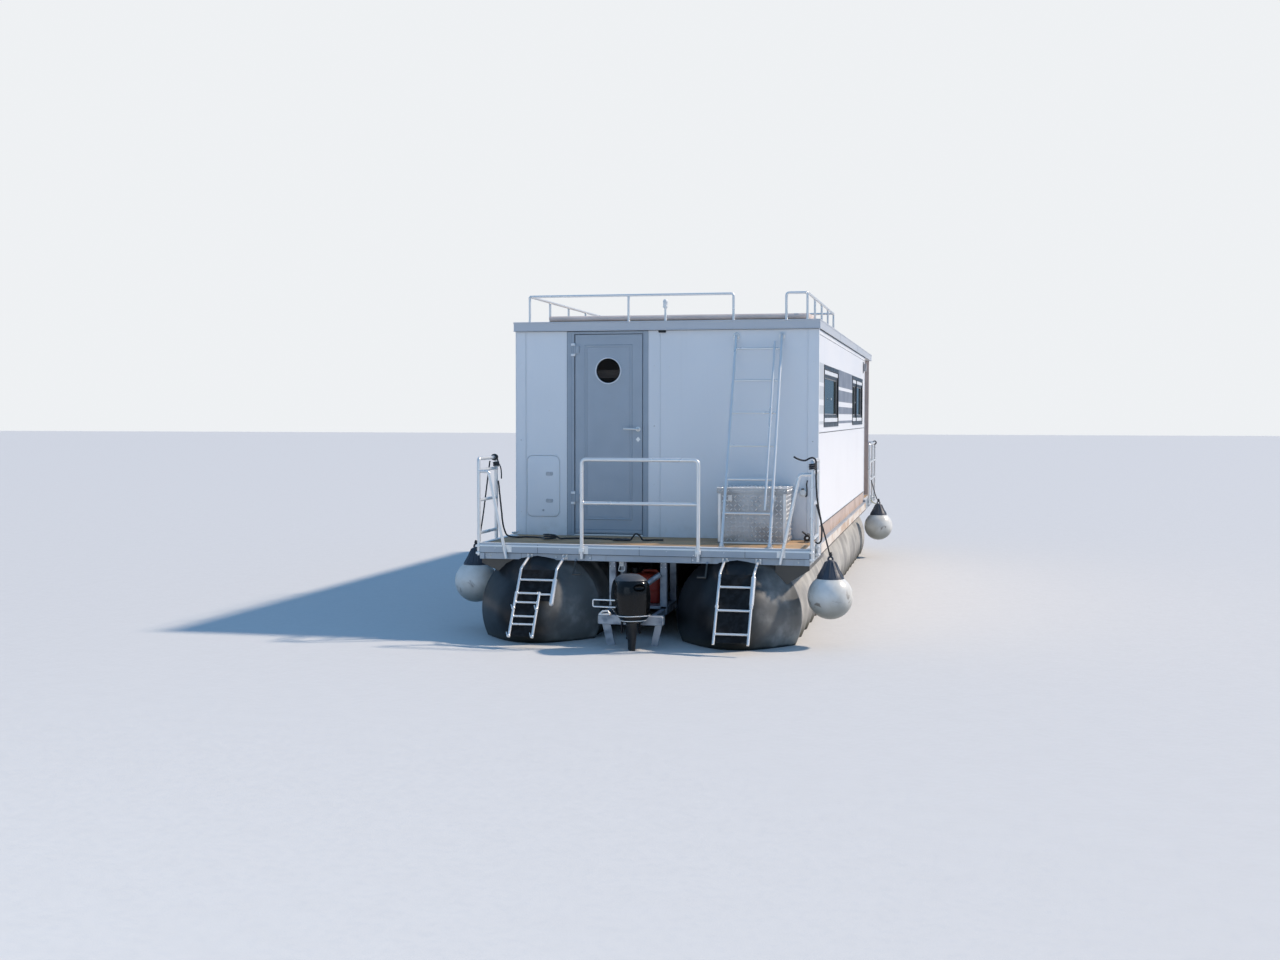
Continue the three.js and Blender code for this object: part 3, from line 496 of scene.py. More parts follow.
def bar_metal(name, colour, roughness, dull, metallic):
    """Bright metal of tubes and thin edges, a little duller in places."""
    f = Finish(name, roughness=roughness, metallic=metallic)
    worn = f.noise(1.5, 3)
    colour = f.mix(colour, shade(colour, 1 - dull), worn)
    return f.done(colour, f.span(worn, 0.3, 0.7, roughness * 0.9, roughness * 1.2))


def cast_metal(name, colour, roughness, stretch, dull, metallic):
    """Bare metal, its gloss broken by handling marks and a brushed grain."""
    f = Finish(name, roughness=roughness, metallic=metallic)
    marks = f.span(f.noise(11, 5), 0.4, 0.75)
    grain = f.noise(120, 3, stretch)
    gloss = f.maths("ADD", f.times(grain, 0.4), f.times(marks, 0.6))
    rough = f.span(gloss, 0.2, 0.8, roughness * 0.7, roughness * 1.5)
    colour = f.mix(colour, shade(colour, 1 - dull), marks)
    return f.done(colour, rough, f.bump(grain, 0.0004, 0.3, f.rounded(0.0015)))


def deck_edge_metal():
    """Extruded aluminium profile: drawn lines along it, water marks, and painted shade below its lower edge.
    """
    f = Finish("deck_edge_aluminium", roughness=0.42, metallic=0.3)
    bloom = f.span(f.noise(1.2, 3), 0.3, 0.8)
    colour = f.mix(srgb(172, 181, 190), srgb(160, 170, 180), bloom)
    marks = f.times(f.span(f.noise(14, 5, (1, 1, 0.3)), 0.52, 0.78), f.span(f.z, 0.9, 0.77))
    colour = f.mix(colour, srgb(118, 116, 108), f.times(marks, 0.35))
    # Painted shade: below the frame's lower edge, underside and brackets turn dark brown-grey.
    colour = f.mix(colour, srgb(82, 79, 74), f.span(f.z, 0.763, 0.756))
    lines = f.noise(40, 2, (0.02, 0.02, 1))
    return f.done(colour, f.span(bloom, 0, 1, 0.34, 0.5), f.bump(lines, 0.0012, 0.35, f.rounded(0.003)))


def weathered_skirt():
    """The platform's side strip: cream edging with brown dirt that ran down and chalky patches."""
    f = Finish("skirt_strip", roughness=0.6, metallic=0.1)
    patches = f.times(f.span(f.noise(2.2, 6, (1, 1, 3)), 0.44, 0.62),
                      f.span(f.y, at(1.4), at(3.0), 0.25, 1.0))
    colour = f.mix(srgb(222, 214, 204), srgb(196, 172, 150), patches)
    run = f.times(f.span(f.noise(16, 5, (1, 1, 0.25)), 0.52, 0.74), 0.45)
    colour = f.mix(colour, srgb(136, 106, 84), run)
    colour = f.mix(colour, srgb(92, 52, 40), f.span(f.z, 0.777, 0.766))
    return f.done(colour, normal=f.bump(f.noise(30, 4), 0.002, 0.4))


def sill_board():
    """Brown coated board under the panels, spotted with dirt."""
    f = Finish("sill_board", roughness=0.62)
    tone = f.span(f.noise(1.6, 5), 0.3, 0.75)
    colour = f.mix(srgb(198, 180, 170), srgb(166, 146, 134), tone)
    spots = f.span(f.cells(26), 0.16, 0.05)
    colour = f.mix(colour, srgb(112, 92, 76), f.times(spots, f.span(f.noise(5, 3), 0.45, 0.65)))
    low = f.times(f.span(f.z, 0.98, 0.89), f.span(f.noise(7, 5), 0.4, 0.65))
    colour = f.mix(colour, srgb(176, 138, 96), f.times(low, 0.7))
    return f.done(colour, normal=f.bump(f.noise(45, 4), 0.001, 0.5))


def deck_boards(name, light, dark, pitch=0.14):
    """Boards across the boat: each its own tone, with grain along it and grey wear."""
    f = Finish(name, roughness=0.72)
    board = f.maths("FLOOR", f.maths("DIVIDE", f.y, pitch))
    tone = f.node("ShaderNodeTexWhiteNoise", noise_dimensions="1D")
    f.feed(tone.inputs["W"], board)
    grain = f.noise(26, 6, (0.09, 1, 1), 0.4)
    colour = f.mix(light, dark, f.span(grain, 0.35, 0.7))
    colour = f.mix(colour, shade(dark, 0.6), f.times(tone.outputs["Value"], 0.45))
    wear = f.span(f.noise(2.4, 5), 0.45, 0.7)
    colour = f.mix(colour, srgb(184, 170, 146), f.times(wear, 0.4))
    return f.done(colour, f.span(wear, 0, 1, 0.62, 0.85), f.bump(grain, 0.0016, 0.6, f.rounded(0.002)))


def pontoon_plastic():
    """Black moulded plastic: glossy on the noses, dusty grey along the ribs, scum at the waterline, and
    painted sunlight on each nose's starboard side.
    """
    f = Finish("pontoon_plastic", roughness=0.46, Specular_IOR_Level=0.3)
    dust = f.span(f.noise(3.2, 6), 0.35, 0.72)
    grey = f.mix(srgb(148, 147, 144), srgb(186, 184, 178), dust)
    runs = f.times(f.span(f.noise(17, 4, (1, 1, 0.12)), 0.55, 0.75), f.span(f.z, 0.1, 0.6))
    grey = f.mix(grey, srgb(184, 181, 174), f.times(runs, 0.4))
    grey = f.mix(grey, srgb(86, 86, 83), f.times(f.span(f.z, 0.32, 0.02), 0.8))
    black = f.mix(srgb(18, 19, 21), srgb(44, 45, 47), dust)
    # Painted sunlight: the starboard-facing side of each nose turns light grey, flecked by the dust noise.
    painted_sunlit_side = f.maths("MAXIMUM", f.times(f.span(f.x, -0.95, -0.62), f.span(f.x, 0.0, -0.3)),
                  f.span(f.x, 1.0, 1.32))
    black = f.mix(black, srgb(168, 168, 164), f.times(painted_sunlit_side, f.span(dust, 0, 1, 0.35, 0.85)))
    body = f.times(f.span(f.y, at(0.172), at(0.182)), f.span(f.y, at(9.95), at(9.88)))
    colour = f.mix(black, grey, body)
    line = f.maths("ADD", f.z, f.times(f.noise(6, 5), 0.06))
    scum = f.times(f.span(line, 0.13, 0.06), f.span(body, 0, 1, 0.3, 0.75))
    colour = f.mix(colour, srgb(74, 72, 56), scum)
    colour = f.mix(colour, srgb(30, 32, 30), f.span(line, 0.065, 0.03))
    rough = f.span(body, 0, 1, 0.33, 0.62)
    fine = f.maths("ADD", f.times(f.noise(150, 2), 0.3), f.noise(22, 4))
    return f.done(colour, rough, f.bump(fine, 0.0012, 0.4))


def fender_skin():
    """Inflated vinyl, off-white with rub marks, its underside darkened grey-green as painted shade and
    painted reflection of dark water.
    """
    f = Finish("fender_vinyl", roughness=0.4)
    colour = f.mix(srgb(226, 226, 222), srgb(204, 202, 194), f.span(f.noise(6, 5), 0.35, 0.7))
    # Painted shade: below its middle the ball goes dark grey-green, standing for shade and the dark water's
    # reflection.
    low = f.span(f.z, 0.52, 0.29)
    colour = f.mix(colour, srgb(100, 108, 106), f.times(low, 0.85))
    rub = f.times(f.span(f.noise(9, 6, warp=0.6), 0.58, 0.68), f.span(f.z, 0.6, 0.42))
    colour = f.mix(colour, srgb(92, 76, 62), f.times(rub, 0.7))
    return f.done(colour, f.span(rub, 0, 1, 0.34, 0.62), f.bump(f.noise(70, 3), 0.0008, 0.4))


def motor_paint():
    """Glossy black paint with fine dust and swirls."""
    f = Finish("motor_paint", roughness=0.2, Coat_Weight=0.12, Coat_Roughness=0.08, Specular_IOR_Level=0.25)
    dust = f.span(f.noise(14, 6), 0.45, 0.75)
    colour = f.mix(srgb(9, 10, 11), srgb(34, 36, 38), f.times(dust, 0.3))
    return f.done(colour, f.span(dust, 0, 1, 0.16, 0.36), f.bump(f.noise(160, 2), 0.0002, 0.4))


def window_glass(name, tint, alpha=1.0):
    """Dark tinted pane."""
    f = Finish(name, roughness=0.04, IOR=1.1, Alpha=alpha)
    smear = f.span(f.noise(5, 5), 0.4, 0.75)
    return f.done(f.mix(tint, shade(tint, 1.5), smear), f.span(smear, 0, 1, 0.03, 0.09))


def rope_fibre():
    """Black braided line, dulled by the sun."""
    f = Finish("rope_fibre", roughness=0.85, Sheen_Weight=0.3)
    fleck = f.cells(420)
    colour = f.mix(srgb(20, 20, 22), srgb(54, 54, 56), f.span(fleck, 0.25, 0.7))
    return f.done(colour, normal=f.bump(fleck, 0.0012, 0.8))


def tread_plate(name, light, dark, roughness):
    """Rolled aluminium, scratched and a little oxidised."""
    f = Finish(name, roughness=roughness, metallic=0.55)
    dirt = f.span(f.noise(5, 3), 0.35, 0.75)
    colour = f.mix(light, dark, f.times(dirt, 0.6))
    low = f.times(f.span(f.z, 1.06, 0.92), f.span(f.noise(12, 5), 0.35, 0.65))
    colour = f.mix(colour, srgb(118, 110, 98), f.times(low, 0.4))
    scratches = f.noise(200, 3, (1, 1, 0.2))
    rough = f.span(dirt, 0, 1, roughness * 0.8, roughness * 1.3)
    return f.done(colour, rough, f.bump(scratches, 0.0003, 0.5, f.rounded(0.002)))


def tank_paint():
    """Red moulded tank, faded on its shoulders."""
    f = Finish("tank_red", roughness=0.45)
    faded = f.times(f.span(f.z, 0.5, 0.66), f.span(f.noise(8, 5), 0.35, 0.65))
    colour = f.mix(srgb(150, 36, 22), srgb(186, 92, 66), f.times(faded, 0.6))
    return f.done(colour, normal=f.bump(f.noise(80, 3), 0.0008, 0.5))


# Plain paints: material name, colour, roughness, wear, grain
PAINTS = {
    "trim": ("white_trim", (226, 230, 234), 0.35, 0.08, 90),
    "door": ("door_grey", (168, 178, 188), 0.4, 0.05, 70),
    "door_trim": ("door_trim", (162, 173, 184), 0.38, 0.06, 90),
    "soft_line": ("soft_line", (136, 146, 158), 0.6, 0.1, 90),
    "seal": ("rubber_seal", (34, 36, 38), 0.75, 0.25, 90),
    "gap": ("shadow_gap", (70, 76, 84), 0.8, 0.2, 90),
    "frame": ("window_frame_black", (30, 31, 34), 0.35, 0.3, 90),
    "blind": ("pleated_blind", (164, 152, 144), 0.8, 0.3, 90),
    "board": ("edging_board", (226, 210, 200), 0.6, 0.12, 90),
    "cone": ("fender_cone", (58, 66, 78), 0.42, 0.3, 90),
    "motor_grey": ("motor_grey", (160, 160, 163), 0.35, 0.15, 90),
    "cowl_top": ("cowl_top", (78, 80, 84), 0.4, 0.15, 90),
    "motor_black": ("motor_black", (17, 18, 20), 0.5, 0.3, 90),
    "mat": ("ladder_mat", (13, 14, 16), 0.85, 0.3, 90),
    "lamp": ("lamp_shell", (232, 234, 232), 0.3, 0.08, 90),
    "post": ("post_taupe", (190, 176, 172), 0.45, 0.15, 90),
    "strap": ("strap_yellow", (206, 196, 150), 0.7, 0.2, 90),
    "stage": ("stage_floor", (212, 211, 208), 0.8, 0.02, 90),
}


def make_finishes():
    """All finishes by name."""
    paints = {key: plain_paint(name, srgb(*colour), *rest) for key, (name, colour, *rest) in PAINTS.items()}
    return paints | {
        "wall": painted_panel("wall_panel", srgb(231, 234, 237), srgb(176, 178, 178)),
        "side_wall": painted_panel("side_wall_panel", srgb(235, 236, 238), srgb(186, 188, 188),
                                   stripes=True),
        "fascia": painted_panel("roof_coating", srgb(196, 200, 205), srgb(150, 152, 152)),
        "steel": bar_metal("stainless_steel", srgb(236, 236, 234), 0.28, 0.06, 0.5),
        "aluminium": deck_edge_metal(),
        "bright": bar_metal("bright_edge", srgb(242, 241, 238), 0.34, 0.05, 0.3),
        "galvanised": cast_metal("galvanised_frame", srgb(164, 172, 182), 0.5, (1, 1, 0.2), 0.3, 0.6),
        "skirt": weathered_skirt(),
        "sill": sill_board(),
        "deck": deck_boards("deck_boards", srgb(228, 184, 134), srgb(158, 126, 96)),
        "roof_deck": deck_boards("roof_boards", srgb(198, 182, 166), srgb(160, 138, 122)),
        "floor": deck_boards("floor_boards", srgb(150, 126, 98), srgb(110, 88, 66), 0.19),
        "plastic": pontoon_plastic(),
        "glass": window_glass("tinted_glass", srgb(30, 40, 35)),
        "porthole": window_glass("porthole_glass", srgb(44, 38, 34), 0.4),
        "vinyl": fender_skin(),
        "rope": rope_fibre(),
        "motor": motor_paint(),
        "propeller": cast_metal("propeller_paint", srgb(120, 124, 130), 0.35, (1, 1, 1), 0.3, 0.6),
        "tank": tank_paint(),
        "tread": tread_plate("tread_plate", srgb(176, 178, 180), srgb(140, 140, 138), 0.46),
        # The lugs' near-white colour is partly bright wear and partly a painted highlight on the tread.
        "lugs": tread_plate("tread_lugs", srgb(248, 248, 246), srgb(226, 226, 222), 0.3),
    }


# What each node that stays in view is finished with
NODE_FINISHES = {
    "wall": ["wall_stern", "wall_bow"],
    "side_wall": ["wall_port", "wall_starboard"],
    "fascia": ["roof"],
    "trim": ["bow_door_port", "bow_door_starboard"],
    "aluminium": ["deck_frame"],
    "sill": ["sill_port", "sill_starboard"],
    "deck": ["stern_deck", "bow_deck"],
    "roof_deck": ["roof_deck"],
    "floor": ["cabin_floor"],
    "post": ["terrace_post_port", "terrace_post_starboard"],
    "tread": ["deck_box", "box_lid"],
    "porthole": ["stern_door_glass"],
    "motor_black": ["swivel_bracket"],
}


def dress_nodes():
    rows = dict(NODE_FINISHES)
    ends = [f"{side}_{end}" for side in PORT_AND_STARBOARD for end in ("aft", "fore")]
    rows["frame"] = [f"window_frame_{end}" for end in ends]
    rows["glass"] = [f"window_glass_{end}" for end in ends]
    rows["glass"] += [f"bow_door_glass_{side}" for side in PORT_AND_STARBOARD]
    for finish, names in rows.items():
        for name in names:
            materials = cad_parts[name].data.materials
            materials.clear()
            materials.append(FINISHES[finish])


# Ropes
ROPE_DIAMETER = 0.018
DRAPED_LINE = [
    (1.648, 0.070, 0.985), (1.672, 0.066, 0.968), (1.700, 0.058, 0.985), (1.712, 0.050, 1.060),
    (1.704, 0.042, 1.180), (1.682, 0.036, 1.300), (1.666, 0.032, 1.420), (1.658, 0.030, 1.560),
    (1.657, 0.030, 1.690), (1.649, 0.030, 1.752), (1.623, 0.030, 1.768), (1.594, 0.029, 1.760),
    (1.560, 0.026, 1.744), (1.520, 0.022, 1.745), (1.480, 0.016, 1.760), (1.450, 0.010, 1.778),
]
DECK_ROPE = [
    (-1.590, 0.545, 1.500), (-1.578, 0.545, 1.380), (-1.560, 0.550, 1.200), (-1.545, 0.566, 1.040),
    (-1.516, 0.600, 0.945), (-1.455, 0.655, 0.922), (-1.340, 0.700, 0.921), (-1.220, 0.690, 0.921),
    (-1.150, 0.630, 0.921), (-1.110, 0.545, 0.921), (-1.080, 0.498, 0.924), (-1.020, 0.496, 0.928),
    (-0.990, 0.545, 0.931), (-1.020, 0.592, 0.934), (-1.080, 0.594, 0.938), (-1.112, 0.545, 0.941),
    (-1.082, 0.494, 0.945), (-1.018, 0.492, 0.948), (-0.988, 0.545, 0.951), (-1.018, 0.596, 0.954),
    (-1.082, 0.598, 0.958), (-1.114, 0.547, 0.961), (-1.080, 0.500, 0.965), (-1.018, 0.498, 0.964),
    (-0.970, 0.536, 0.942), (-0.952, 0.576, 0.923), (-0.915, 0.615, 0.921), (-0.830, 0.665, 0.921),
    (-0.700, 0.690, 0.921), (-0.560, 0.670, 0.921), (-0.440, 0.640, 0.921), (-0.340, 0.650, 0.921),
    (-0.255, 0.632, 0.921), (-0.245, 0.592, 0.921), (-0.325, 0.580, 0.921), (-0.398, 0.565, 0.921),
    (-0.390, 0.535, 0.921), (-0.300, 0.528, 0.921), (-0.220, 0.540, 0.926), (-0.195, 0.522, 0.955),
    (-0.157, 0.508, 0.990), (-0.118, 0.518, 0.965), (-0.104, 0.550, 0.930), (-0.070, 0.600, 0.921),
    (0.010, 0.640, 0.921), (0.090, 0.650, 0.921),
]


def laid_radius(radius, strands=3, pitch=0.09):
    """The outline of a laid rope: strands that wind round it."""
    def size(along, angle):
        return radius * (0.94 + 0.06 * math.cos(strands * angle - 2 * math.pi * along / pitch))
    return size


def add_cord(name, points):
    way = smooth_way([(x, at(y), z) for x, y, z in points], 0.008)
    shape = Shape().tube(way, laid_radius(ROPE_DIAMETER / 2), sides=12, edge=0.003)
    cord = piece(name + "_rope", shape, "rope", replaces=[name])


def add_cords():
    add_cord("draped_line", DRAPED_LINE)
    add_cord("deck_rope", DECK_ROPE)


# Pontoons
PONTOON = {"z": 0.262, "r": 0.6, "rib": 0.024, "pitch": 0.52, "width": 0.15, "ribs": 18, "first": 0.595,
           "nose": 0.12}
PONTOON_X = {"port": -1.025, "starboard": 0.925}
NOSE = [(0.0, -0.405), (0.11, -0.393), (0.21, -0.352), (0.30, -0.282), (0.40, -0.165), (0.50, -0.03),
        (0.60, 0.12)]
BOW = [(0.576, 9.9), (0.54, 10.16), (0.47, 10.37), (0.30, 10.69), (0.13, 10.86), (0.0, 10.9)]


def smooth_profile(rows):
    """A profile with points added on a smooth curve through its rows."""
    way = smooth_way([(r, along, 0) for r, along in rows], 0.035)
    result = [(max(0.0, p.x), p.y) for p in way]
    for end in (0, -1):
        if rows[end][0] == 0:
            result[end] = (0.0, result[end][1])
    return result


def pontoon_profile():
    base = PONTOON["r"] - PONTOON["rib"]
    nose = PONTOON["nose"]
    profile = smooth_profile(NOSE)[:-1]
    r = PONTOON["r"]
    profile += [(r - 0.006, nose - 0.012), (r - 0.0015, nose - 0.004), (r, nose + 0.006), (r, nose + 0.042),
                (r - 0.002, nose + 0.048), (r - 0.006, nose + 0.051), (base - 0.018, nose + 0.056),
                (base - 0.02, nose + 0.064), (base - 0.02, nose + 0.106), (base - 0.017, nose + 0.112),
                (base, nose + 0.12), (base, nose + 0.2)]
    for i in range(PONTOON["ribs"]):
        start = PONTOON["first"] + i * PONTOON["pitch"]
        for step in range(13):
            t = step / 12
            height = math.sin(math.pi * t) ** 1.5
            profile.append((base + PONTOON["rib"] * height, start - 0.03 + (PONTOON["width"] + 0.06) * t))
        profile.append((base, start + PONTOON["width"] + 0.1))
    bow = smooth_profile(BOW)
    return [(r, at(y)) for r, y in profile + bow]


def add_pontoons():
    profile = pontoon_profile()
    seal_radius = PONTOON["r"] - PONTOON["rib"] - 0.0175
    for name, middle in PONTOON_X.items():
        shape = Shape().lathe(profile, (middle, 0, PONTOON["z"]), (0, 1, 0), 96)
        piece(f"pontoon_skin_{name}", shape, "plastic", replaces=[f"pontoon_{name}"])
        turns = [(math.cos(angle), math.sin(angle)) for angle in (2 * math.pi * i / 72 for i in range(72))]
        ring = [(middle + seal_radius * c, at(0.205), PONTOON["z"] + seal_radius * s) for c, s in turns]
        band = Shape().tube(ring, 0.006, 8, closed=True)
        piece(f"pontoon_seal_{name}", band, "seal")


# Rails
def weld(shape, point, axis, radius):
    """A small swelling where a bar is welded to another."""
    shape.lathe([(radius, -0.004), (radius + 0.003, -0.001), (radius + 0.003, 0.001), (radius, 0.004)],
                point, axis, 14)


def bolt(shape, point, axis):
    """A hexagonal bolt head standing on a point."""
    shape.disc(point, axis, 0.006, 0.005, 6)


def foot_plate(shape, point):
    """A round base plate with three screw heads and a welded collar."""
    x, y, z = point
    thick, screw_circle = 0.007, 0.021
    shape.disc((x, y, z), (0, 0, 1), 0.03, thick)
    shape.lathe([(ROOF_TUBE + 0.006, 0), (ROOF_TUBE + 0.001, 0.007)], (x, y, z + thick), sides=16)
    for angle in (0.5 + 2 * math.pi * i / 3 for i in range(3)):
        screw = (x + screw_circle * math.cos(angle), y + screw_circle * math.sin(angle), z + thick)
        shape.ball(screw, 0.0035, 8, 4, 0.5)


ROOF_RAIL = {"x": 1.45, "aft": 1.2, "bay": 0.78, "z": 3.395, "gate_port": 0.7, "gate_starboard": 1.238}


def add_roof_rail():
    x, aft, z = ROOF_RAIL["x"], ROOF_RAIL["aft"], ROOF_RAIL["z"]
    fore = aft + 4 * ROOF_RAIL["bay"]
    floor = ROOF_TOP + GAP
    shape = Shape()
    run = [(ROOF_RAIL["gate_port"], aft, floor), (ROOF_RAIL["gate_port"], aft, z), (-x, aft, z),
           (-x, fore, z), (x, fore, z),
           (x, aft, z), (ROOF_RAIL["gate_starboard"], aft, z), (ROOF_RAIL["gate_starboard"], aft, floor)]
    shape.tube([(px, at(py), pz) for px, py, pz in run], ROOF_TUBE, 14, bend=0.028)
    posts = [(-0.392, aft), (-0.48, fore), (0.48, fore)]
    for i in range(5):
        posts += [(-x, aft + i * ROOF_RAIL["bay"]), (x, aft + i * ROOF_RAIL["bay"])]
    for px, py in posts:
        shape.tube([(px, at(py), floor), (px, at(py), z - 0.004)], ROOF_TUBE - 0.001, 12)
        weld(shape, (px, at(py), z - ROOF_TUBE), (0, 0, 1), ROOF_TUBE)
    for px, py in posts + [(ROOF_RAIL["gate_port"], aft), (ROOF_RAIL["gate_starboard"], aft)]:
        foot_plate(shape, (px, at(py), floor))
    piece("roof_rail_tubes", shape, "steel", replaces=["roof_rail"])


def side_bracket(shape, point, side):
    """A flat clamp that holds a post against the deck's side: two straps and their bolts."""
    x, y, z = point
    for dz in (-0.035, 0.035):
        shape.block((x - side * 0.018, y - 0.036, z + dz - 0.012),
                    (x + side * 0.0205, y + 0.036, z + dz + 0.012), 0.003)
        for dy in (-0.028, 0.028):
            bolt(shape, (x + side * 0.0205, y + dy, z + dz), (side, 0, 0))


STERN_RAIL = {"port": -0.576, "starboard": 0.557, "foot": 0.8, "mid": 1.32}


def add_stern_rail():
    y = at(0) - TUBE - GAP
    shape = Shape()
    loop = [(STERN_RAIL["port"], y, STERN_RAIL["foot"] - 0.02), (STERN_RAIL["port"], y, RAIL_TOP),
            (STERN_RAIL["starboard"], y, RAIL_TOP),
            (STERN_RAIL["starboard"], y, STERN_RAIL["foot"] - 0.02)]
    shape.tube(loop, TUBE, 16, bend=0.04)
    shape.tube([(STERN_RAIL["port"], y, STERN_RAIL["mid"]),
                (STERN_RAIL["starboard"], y, STERN_RAIL["mid"])], TUBE - 0.002, 14, edge=0)
    for x, way in ((STERN_RAIL["port"], 1), (STERN_RAIL["starboard"], -1)):
        weld(shape, (x + way * (TUBE + 0.001), y, STERN_RAIL["mid"]), (1, 0, 0), TUBE)
    piece("stern_rail_tubes", shape, "steel", replaces=["stern_rail"])
    brackets = Shape()
    for x, way in ((STERN_RAIL["port"], 1), (STERN_RAIL["starboard"], -1)):
        brackets.block((x - 0.032, at(0) - 0.0065, 0.825), (x + 0.032 + way * 0.03, at(0) - GAP, 0.905),
                       0.002)
        brackets.block((x - 0.026, y - 0.0215, 0.846), (x + 0.026, at(0) - 0.004, 0.884), 0.004)
        for dz in (-0.026, 0.026):
            bolt(brackets, (x + way * 0.046, at(0) - 0.0065, 0.865 + dz), (0, -1, 0))
    piece("stern_rail_brackets", brackets, "bright")


def add_quarter_rails():
    aft, fore, back = at(0.03), at(0.575), at(0) - TUBE - GAP
    for name, side in PORT_AND_STARBOARD.items():
        x = side * (OUTER + TUBE + GAP)
        shape = Shape()
        shape.tube([(x, aft, 0.79), (x, aft, RAIL_TOP), (x, fore, RAIL_TOP), (x, fore, 0.79)], TUBE, 16,
                   bend=0.03)
        for z in (1.625, 1.33, 1.007):
            shape.tube([(x, aft, z), (x, fore, z)], TUBE - 0.003, 12, edge=0)
            weld(shape, (x, aft + TUBE, z), (0, 1, 0), TUBE - 0.002)
            weld(shape, (x, fore - TUBE, z), (0, 1, 0), TUBE - 0.002)
        foot = (side * 1.33, back, 0.77)
        shape.tube([(x, aft, 1.612), (side * 1.508, back, 1.612), foot], TUBE - 0.002, 14, bend=0.03)
        piece(f"quarter_rail_tubes_{name}", shape, "steel", replaces=[f"quarter_rail_{name}"])
        brackets = Shape()
        for y in (aft, fore):
            side_bracket(brackets, (x, y, 0.85), side)
        brackets.block((foot[0] - 0.03, at(0) - 0.006, 0.83), (foot[0] + 0.05, at(0) - GAP, 0.9), 0.002)
        bolt(brackets, (foot[0] + 0.034, at(0) - 0.006, 0.865), (0, -1, 0))
        piece(f"quarter_rail_brackets_{name}", brackets, "bright")


def add_bow_rails():
    top, foot = 1.73, 0.79
    for name, side in PORT_AND_STARBOARD.items():
        x = side * (OUTER + TUBE + GAP)
        aft, fore, front = at(8.95), at(DECK_LENGTH) + TUBE + GAP, side * 0.56
        shape = Shape()
        shape.tube([(x, aft, foot), (x, aft, top), (x, fore, top), (front, fore, top), (front, fore, foot)],
                   TUBE, 16, bend=0.04)
        for z in (1.18, 1.45):
            shape.tube([(x, aft, z), (x, fore, z), (front, fore, z)], TUBE - 0.004, 12, bend=0.04, edge=0)
        posts = [(x, at(9.72)), (x, at(DECK_LENGTH - 0.07)), (side * 1.51, fore), (side * 1.08, fore)]
        for px, py in posts:
            shape.tube([(px, py, foot), (px, py, top)], TUBE - 0.002, 14)
        piece(f"bow_rail_tubes_{name}", shape, "steel", replaces=[f"bow_rail_{name}"])
        brackets = Shape()
        for y in (aft, at(9.72), at(DECK_LENGTH - 0.07)):
            side_bracket(brackets, (x, y, 0.85), side)
        piece(f"bow_rail_brackets_{name}", brackets, "bright")


LADDER = {"left": 0.747, "right": 1.208, "grab": 1.143, "foot": (0.19, 0.9183), "head": (1.065, 2.93),
          "rungs": 6}


def add_roof_ladder():
    (foot_y, foot_z), (head_y, head_z) = LADDER["foot"], LADDER["head"]

    def along(x, t, out=0.0):
        return (x, at(foot_y + (head_y - foot_y) * t - out), foot_z + (head_z - foot_z) * t)

    shape = Shape()
    wall = at(CABIN_AFT) - GAP
    for x in (LADDER["left"], LADDER["right"]):
        elbow = (x, at(head_y + 0.025), head_z + 0.032)
        shape.tube([along(x, 0), along(x, 1), elbow, (x, wall, elbow[2])], TUBE - 0.003, 16, bend=0.05)
        shape.disc((x, wall, elbow[2]), (0, -1, 0), 0.034, 0.008, 28)
        shape.lathe([(0.022, 0), (0.0165, 0.01)], (x, wall - 0.008, elbow[2]), (0, -1, 0), 20)
        shape.disc((x, at(foot_y), DECK_TOP + GAP), (0, 0, 1), 0.032, 0.006)
        shape.lathe([(0.022, 0), (0.022, 0.02), (0.0165, 0.03)], (x, at(foot_y), DECK_TOP + 0.006),
                    (0, 0, 1), 20)
    for i in range(LADDER["rungs"]):
        t = 0.15 + 0.16 * i
        shape.tube([along(LADDER["left"], t), along(LADDER["right"], t)], 0.011, 12, edge=0)
        weld(shape, along(LADDER["left"] + 0.016, t), (1, 0, 0), 0.011)
        weld(shape, along(LADDER["right"] - 0.016, t), (1, 0, 0), 0.011)
    shape.tube([along(LADDER["grab"], 0.165, 0.006), along(LADDER["grab"], 0.19, 0.02),
                along(LADDER["grab"], 0.965, 0.02),
                along(LADDER["grab"], 0.985, 0.012)], 0.0115, 14, bend=0.02)
    piece("roof_ladder_tubes", shape, "steel", replaces=["roof_ladder"])


SWIM_TOP, SWIM_END = (-0.28, 0.705), (-0.68, 0.085)


def swim_along(x, t, out=0.0):
    return (x, at(SWIM_TOP[0] + (SWIM_END[0] - SWIM_TOP[0]) * t - out),
            SWIM_TOP[1] + (SWIM_END[1] - SWIM_TOP[1]) * t)


def swim_stiles(shape, sides, reach):
    """The stiles of a swim ladder, with the plates and bolts that hold them to the platform's lower step."""
    step = at(0.018)
    face = step - 0.008
    for x in sides:
        shape.tube([(x, step - 0.002, 0.804), swim_along(x, 0), swim_along(x, reach)], 0.013, 14, bend=0.05)
        shape.block((x - 0.028, face, 0.768), (x + 0.028, step - GAP, 0.8195), 0.003)
        for dx in (-0.02, 0.02):
            shape.disc((x + dx, face, 0.792), (0, -1, 0), 0.005, 0.004, 6)


def tread(shape, x0, x1, t, out=0.0, radius=0.011):
    """A rung between two stiles, welded to both."""
    shape.tube([swim_along(x0, t, out), swim_along(x1, t, out)], radius, 12, edge=0)
    for x in (x0 + 0.015, x1 - 0.015):
        weld(shape, swim_along(x, t, out), (1, 0, 0), radius)


def grab_tube(shape, x, t0, t1):
    """A thick tube with round ends on a stile."""
    ends, radius = [swim_along(x, t0), swim_along(x, t1)], 0.0218
    shape.tube(ends, radius, 20, edge=0)
    for end in ends:
        shape.ball(end, radius, 20, 12)


